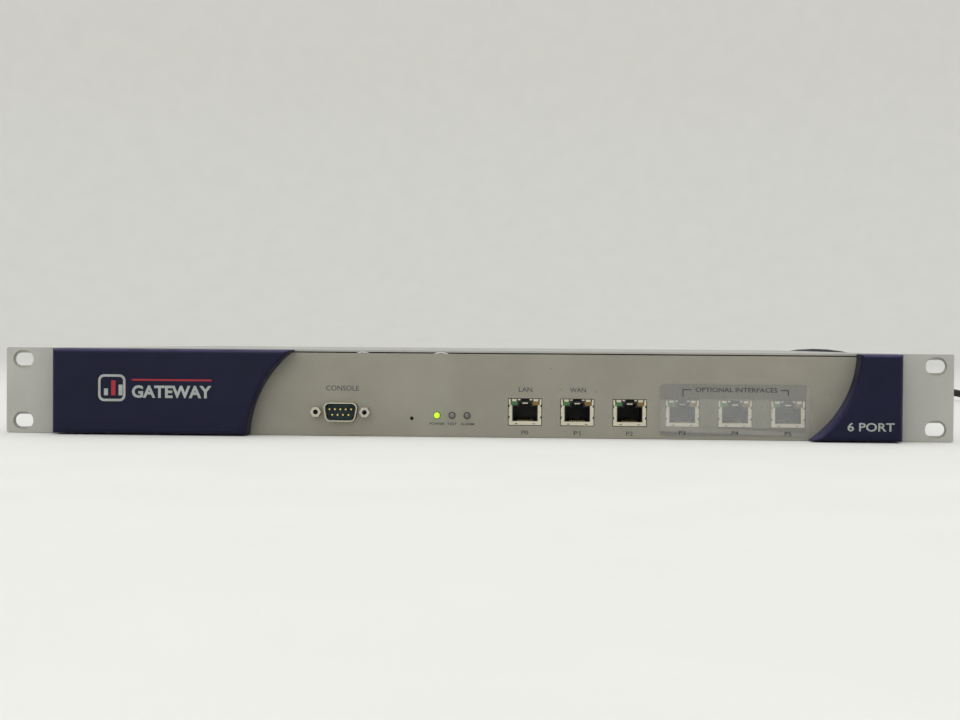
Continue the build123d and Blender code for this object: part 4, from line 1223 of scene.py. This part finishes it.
class MakeJackFronts(bpy.types.Operator):
    """Make the springs and tabs on the front of each network jack, and dark sheets of painted shade in its openings"""

    bl_idname = "appliance.make_jack_fronts"
    bl_label = "Jack fronts"

    def execute(self, context):
        jacks = context.scene.appliance_jacks
        low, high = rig.box("jack_shell_1")
        half_width, half_height = (high.x - low.x) / 2, (high.z - low.z) / 2
        sizes = {
            "Half Width": half_width,
            "Half Height": half_height,
            "Spring Width": jacks.spring_width,
            "Dimple": jacks.dimple,
            "Tab Width": jacks.tab_width,
            "Slot Width": jacks.slot_width,
            "Slot Height": jacks.slot_height,
        }
        places = [Vector((middle(f"jack_shell_{n}").x, low.y, middle(f"jack_shell_{n}").z)) for n in JACKS]
        made = grown("jack_springs", places, self.spring_tree(sizes), sizes, "jack_shield")
        dress(made, "jack_shield", slot="jack_shield")
        # Dark sheets in the shield's openings: painted shade.
        made = grown("jack_opening_shade", places, self.opening_shade_tree(sizes), sizes, "dark_opening")
        dress(made, "dark_opening", slot="black_plastic")
        return {"FINISHED"}

    def block(self, w, x, z, width, height, depth, y=0.0):
        """A small box in a tree. x, z, width and height may be sockets."""
        return w.moved(w.cube(w.vector(width, depth, height)), Translation=w.vector(x, y, z))

    def spring_tree(self, sizes):
        tree, w, given, out = pattern_tree("jack_spring_pattern", sizes)
        tab_x, tab_width = 0.0055, given["Tab Width"]
        tab_z, bend_z, bar_z = (w.maths("SUBTRACT", given["Half Height"], drop) for drop in (0.0009, 0.00045, 0.0021))
        solids = []
        for side in (-1.0, 1.0):
            spring_x = w.maths("MULTIPLY", w.maths("SUBTRACT", given["Half Width"], 0.0009), side)
            bump = w.ball(16, 10, given["Dimple"])
            solids += [
                self.block(w, spring_x, 0.0002, given["Spring Width"], 0.0046, 0.00012),
                w.moved(bump, Translation=w.vector(spring_x, 0.0, 0.0002), Scale=(0.9, 0.45, 1.15)),
                self.block(w, tab_x * side, tab_z, tab_width, 0.00055, 0.0002, -0.00008),
                self.block(w, tab_x * side, bend_z, tab_width, 0.0003, 0.0003, -0.00006),
            ]
        solids.append(self.block(w, 0.0, bar_z, 0.0028, 0.00055, 0.0002, -0.0001))
        close_tree(w, given, out, w.copies(given["Geometry"], w.joined(solids)))
        return tree

    def opening_shade_tree(self, sizes):
        # Thin dark sheets in front of the shield: painted shade standing for its openings along the top, the sides and
        # the foot.
        tree, w, given, out = pattern_tree("jack_opening_shade_pattern", sizes)
        slot, thin = given["Slot Height"], 0.00008
        edge_z = w.maths("SUBTRACT", given["Half Height"], w.maths("MULTIPLY", slot, 0.5))
        foot_z = w.maths("SUBTRACT", 0.0006, given["Half Height"])
        solids = [self.block(w, 0.0, edge_z, given["Slot Width"], slot, thin)]
        for side in (-1.0, 1.0):
            edge_x = w.maths("MULTIPLY", w.maths("SUBTRACT", given["Half Width"], 0.00025), side)
            solids += [self.block(w, place * side, edge_z, 0.00055, slot, thin) for place in (0.0039, 0.0071)]
            solids += [self.block(w, edge_x, height, 0.0005, 0.0011, thin) for height in (0.0031, -0.0027)]
            solids.append(self.block(w, 0.0045 * side, foot_z, 0.0012, 0.00035, thin))
        close_tree(w, given, out, w.copies(given["Geometry"], w.joined(solids)))
        return tree


class MakePrinting(bpy.types.Operator):
    """Print the port names on the panel and the film"""

    bl_idname = "appliance.make_printing"
    bl_label = "Port names"

    def execute(self, context):
        marks = context.scene.appliance_print
        depth, stroke = marks.ink_depth, marks.stroke
        panel = bmesh.new()
        console, film_y = middle("console_shell").x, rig.box("port_cover_film")[0].y
        light = min(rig.box("power_led")[0].x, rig.box("status_leds")[0].x)
        lan, wan, *_ = ports = [middle(f"jack_shell_{n}").x for n in JACKS]
        names = [
            ("CONSOLE", console - 0.0079, console + 0.0091, 0.0232, 0.0258),
            ("POWER", light - 0.00185, light + 0.00585, 0.0061, 0.0074),
            ("TEST", light + 0.0071, light + 0.0121, 0.0061, 0.0074),
            ("ALARM", light + 0.0140, light + 0.0209, 0.0061, 0.0074),
            ("LAN", lan - 0.0032, lan + 0.0036, 0.0234, 0.0258),
            ("WAN", wan - 0.0038, wan + 0.0044, 0.0234, 0.0258),
        ]
        names += [(f"P{n}", x - 0.0017, x + 0.0017, 0.0017, 0.0038) for n, x in enumerate(ports[:3])]
        for text, *place in names:
            add_words(panel, text, *place, FACE_Y, depth, stroke)
        dress(from_shape("panel_printing", panel), "ink", slot="grey_panel")
        sheet = bmesh.new()
        for number, x in enumerate(ports[3:], start=3):
            add_words(sheet, f"P{number}", x - 0.0017, x + 0.0017, 0.0026, 0.0045, film_y, depth, stroke)
        add_words(sheet, "OPTIONAL INTERFACES", 0.1127, 0.1537, 0.0242, 0.0265, film_y, depth, stroke)
        line = 0.00022
        for outer, inner, drop in ((0.1065, 0.1106, 0.0218), (0.1592, 0.1551, 0.0227)):
            bar(sheet, min(outer, inner), max(outer, inner), 0.0253 - line, 0.0253 + line, film_y, depth)
            bar(sheet, outer - line, outer + line, drop, 0.0253, film_y, depth)
        low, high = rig.box("port_cover_film")
        outer = rounded_outline(low.x, high.x, low.z, high.z, 0.0021)
        inner = rounded_outline(low.x + 0.0002, high.x - 0.0002, low.z + 0.0002, high.z - 0.0002, 0.0019)
        dress(from_shape("film_printing", sheet), "ink", slot="grey_film")
        border = bmesh.new()
        outline_ring(border, outer, inner, film_y, depth * 0.4)
        dress(from_shape("film_edge", border), "film_edge", slot="grey_film")
        return {"FINISHED"}


class MakeBadges(bpy.types.Operator):
    """Print the plain marks on the two bezels"""

    bl_idname = "appliance.make_badges"
    bl_label = "Bezel marks"

    def execute(self, context):
        marks = context.scene.appliance_print
        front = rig.box("bezel_left")[0].y
        depth = marks.ink_depth * 2
        silver, accent = bmesh.new(), bmesh.new()
        outer = rounded_outline(-0.1895, -0.1755, 0.0172, 0.0308, 0.0030)
        inner = rounded_outline(-0.1883, -0.1767, 0.0184, 0.0296, 0.0020)
        outline_ring(silver, outer, inner, front, depth)
        for left, top in ((-0.1865, 0.0236), (-0.1790, 0.0256)):
            bar(silver, left, left + 0.0020, 0.0202, top, front, depth)
        bar(accent, -0.1828, -0.1806, 0.0202, 0.0278, front, depth)
        add_words(silver, marks.badge_word, -0.1722, -0.1315, 0.0190, 0.0254, front, depth, 0.0003)
        bar(accent, -0.1722, -0.1315, 0.0277, 0.0286, front, depth)
        add_words(silver, marks.count_word, 0.1862, 0.2092, 0.0058, 0.0101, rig.box("bezel_right")[0].y, depth, 0.0001)
        dress(from_shape("badge_silver", silver), "silver_print", slot="navy_plastic")
        dress(from_shape("badge_accent", accent), "accent_print", slot="navy_plastic")
        return {"FINISHED"}


class MakeSmallParts(bpy.types.Operator):
    """Make the painted shade round the lights, the fan labels and the rocker's marks"""

    bl_idname = "appliance.make_small_parts"
    bl_label = "Rims, labels and switch marks"

    def execute(self, context):
        self.make_light_gap_shade()
        self.make_jackscrew_threads()
        self.make_fan_labels()
        self.make_switch_marks()
        return {"FINISHED"}

    def make_light_gap_shade(self):
        """A dark ring round each indicator light: painted shade in the gap between the light and its hole."""
        sizes = {"Shade Ring Radius": 0.00162, "Shade Ring Thickness": 0.00016}
        tree, w, given, out = pattern_tree("light_gap_shade", sizes)
        hoop = w.hoop(32, given["Shade Ring Radius"], given["Shade Ring Thickness"])
        close_tree(w, given, out, w.copies(given["Geometry"], w.moved(hoop, Rotation=(radians(90), 0, 0))))
        low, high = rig.box("status_leds")
        first_low, first_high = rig.box("power_led")
        spacing = (high.x - low.x) - (first_high.x - first_low.x)
        places = [(middle("power_led").x + spacing * i, FACE_Y - 0.00002, high.z - 0.0019) for i in range(3)]
        made = grown("light_gap_shade", places, tree, sizes, "dark_opening")
        dress(made, "dark_opening", slot="black_plastic")

    def make_jackscrew_threads(self):
        """The threads inside each jackscrew's mouth, made near-black: painted shade inside the mouth."""
        shape = bmesh.new()
        low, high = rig.box("console_jackscrews")
        half_hexagon = (high.z - low.z) / 2
        for x in (low.x + half_hexagon, high.x - half_hexagon):
            for turn in range(5):
                place = (x, low.y + 0.0007 + turn * 0.0005, middle("console_jackscrews").z)
                round_bar(shape, place, 0.00124 if turn % 2 else 0.00112, 0.00045, end=0.0009)
        dress(from_shape("jackscrew_threads", shape, radians(40)), "dark_opening", slot="nickel_screws")

    def make_fan_labels(self):
        """A round paper label on each fan's hub."""
        shape, radius = bmesh.new(), 0.0088
        layer = shape.loops.layers.uv.new("UVMap")
        for n in FANS:
            centre, back = middle(f"fan_frame_{n}"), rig.box(f"fan_frame_{n}")[1].y
            made = round_bar(shape, (centre.x, back + 0.00006, centre.z), radius, 0.00014, 48)
            for face in {f for v in made for f in v.link_faces}:
                for loop in face.loops:
                    loop[layer].uv = (loop.vert.co.x - centre.x) / radius, (loop.vert.co.z - centre.z) / radius
        dress(from_shape("fan_labels", shape), "fan_paper", slot="fan_plastic")

    def make_switch_marks(self):
        """A bar on the pressed half of the rocker, and a ring on the other."""
        low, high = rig.box("switch_frame")
        pivot = Vector(((low.x + high.x) / 2, REAR_Y - 0.003, (low.z + high.z) / 2))
        thick, lift = 0.0001, Matrix.Translation((0, 0.00008, 0))
        shape = bmesh.new()
        for x, y, lean, ring in ((0.004237, 0.003010, -2.2, False), (-0.002952, 0.004278, -17.8, True)):
            flat = bmesh.new()
            if ring:
                outer, inner = (
                    rounded_outline(-half, half, -half, half, half - 0.00001, 8) for half in (0.0014, 0.001)
                )
                outline_ring(flat, outer, inner, 0.0, thick)
            else:
                bar(flat, -0.0002, 0.0002, -0.0015, 0.0015, 0.0, thick)
            mesh = bpy.data.meshes.new("mark")
            flat.to_mesh(mesh)
            flat.free()
            place = Matrix.Translation(pivot + Vector((x, y, 0)))
            mesh.transform(place @ Matrix.Rotation(radians(lean), 4, "Z") @ lift)
            shape.from_mesh(mesh)
            bpy.data.meshes.remove(mesh)
        dress(from_shape("switch_marks", shape), "white_print", body="power_rocker", slot="rocker_plastic")


class FinishCase(bpy.types.Operator):
    """Give every node of the appliance its finish"""

    bl_idname = "appliance.finish_case"
    bl_label = "Finishes"

    def execute(self, context):
        own = {"power_led": "lit_window"}
        for part in frame["record"]["subparts"]:
            node = frame["nodes"][part["node"]]
            material = finish(own.get(part["node"], part["material_slot"]))
            if not node.material_slots:
                node.data.materials.append(material)
            for slot in node.material_slots:
                slot.material = material
        return {"FINISHED"}


class AppliancePanel(bpy.types.Panel):
    """The appliance's pieces and their settings"""

    bl_idname = "APPLIANCE_PT_pieces"
    bl_label = "Rack appliance"
    bl_space_type = "VIEW_3D"
    bl_region_type = "UI"
    bl_category = "Appliance"

    def draw(self, context):
        for operator, settings in STEPS:
            box = self.layout.box()
            box.operator(operator.bl_idname)
            group = getattr(context.scene, settings) if settings else None
            for name in group.bl_rna.properties.keys() if group else ():
                if name not in ("rna_type", "name"):
                    box.prop(group, name)


SETTINGS = {
    "appliance_studio": StudioSettings,
    "appliance_case": CaseSettings,
    "appliance_print": PrintSettings,
    "appliance_screws": ScrewSettings,
    "appliance_jacks": JackSettings,
    "appliance_lead": LeadSettings,
}
STEPS = (
    (MakeStudio, "appliance_studio"),
    (MakeLead, "appliance_lead"),
    (FinishCase, "appliance_case"),
    (MakeScrews, "appliance_screws"),
    (MakeJackFronts, "appliance_jacks"),
    (MakePrinting, "appliance_print"),
    (MakeBadges, None),
    (MakeSmallParts, None),
)


def register():
    for settings in SETTINGS.values():
        bpy.utils.register_class(settings)
    for operator, _ in STEPS:
        bpy.utils.register_class(operator)
    bpy.utils.register_class(AppliancePanel)
    for name, settings in SETTINGS.items():
        setattr(bpy.types.Scene, name, PointerProperty(type=settings))


def unregister():
    for name in SETTINGS:
        delattr(bpy.types.Scene, name)
    bpy.utils.unregister_class(AppliancePanel)
    for operator, _ in reversed(STEPS):
        bpy.utils.unregister_class(operator)
    for settings in reversed(SETTINGS.values()):
        bpy.utils.unregister_class(settings)


def main():
    register()
    bpy.ops.appliance.make_studio()
    bpy.ops.appliance.make_lead()
    bpy.ops.appliance.finish_case()
    bpy.ops.appliance.make_screws()
    bpy.ops.appliance.make_jack_fronts()
    bpy.ops.appliance.make_printing()
    bpy.ops.appliance.make_badges()
    bpy.ops.appliance.make_small_parts()
    sizes = {"cad": CAD_BOX, "visual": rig.bounds()}
    with open("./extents.json", "w") as file:
        json.dump({name: [list(corner) for corner in box] for name, box in sizes.items()}, file)


if __name__ == "__main__":
    main()
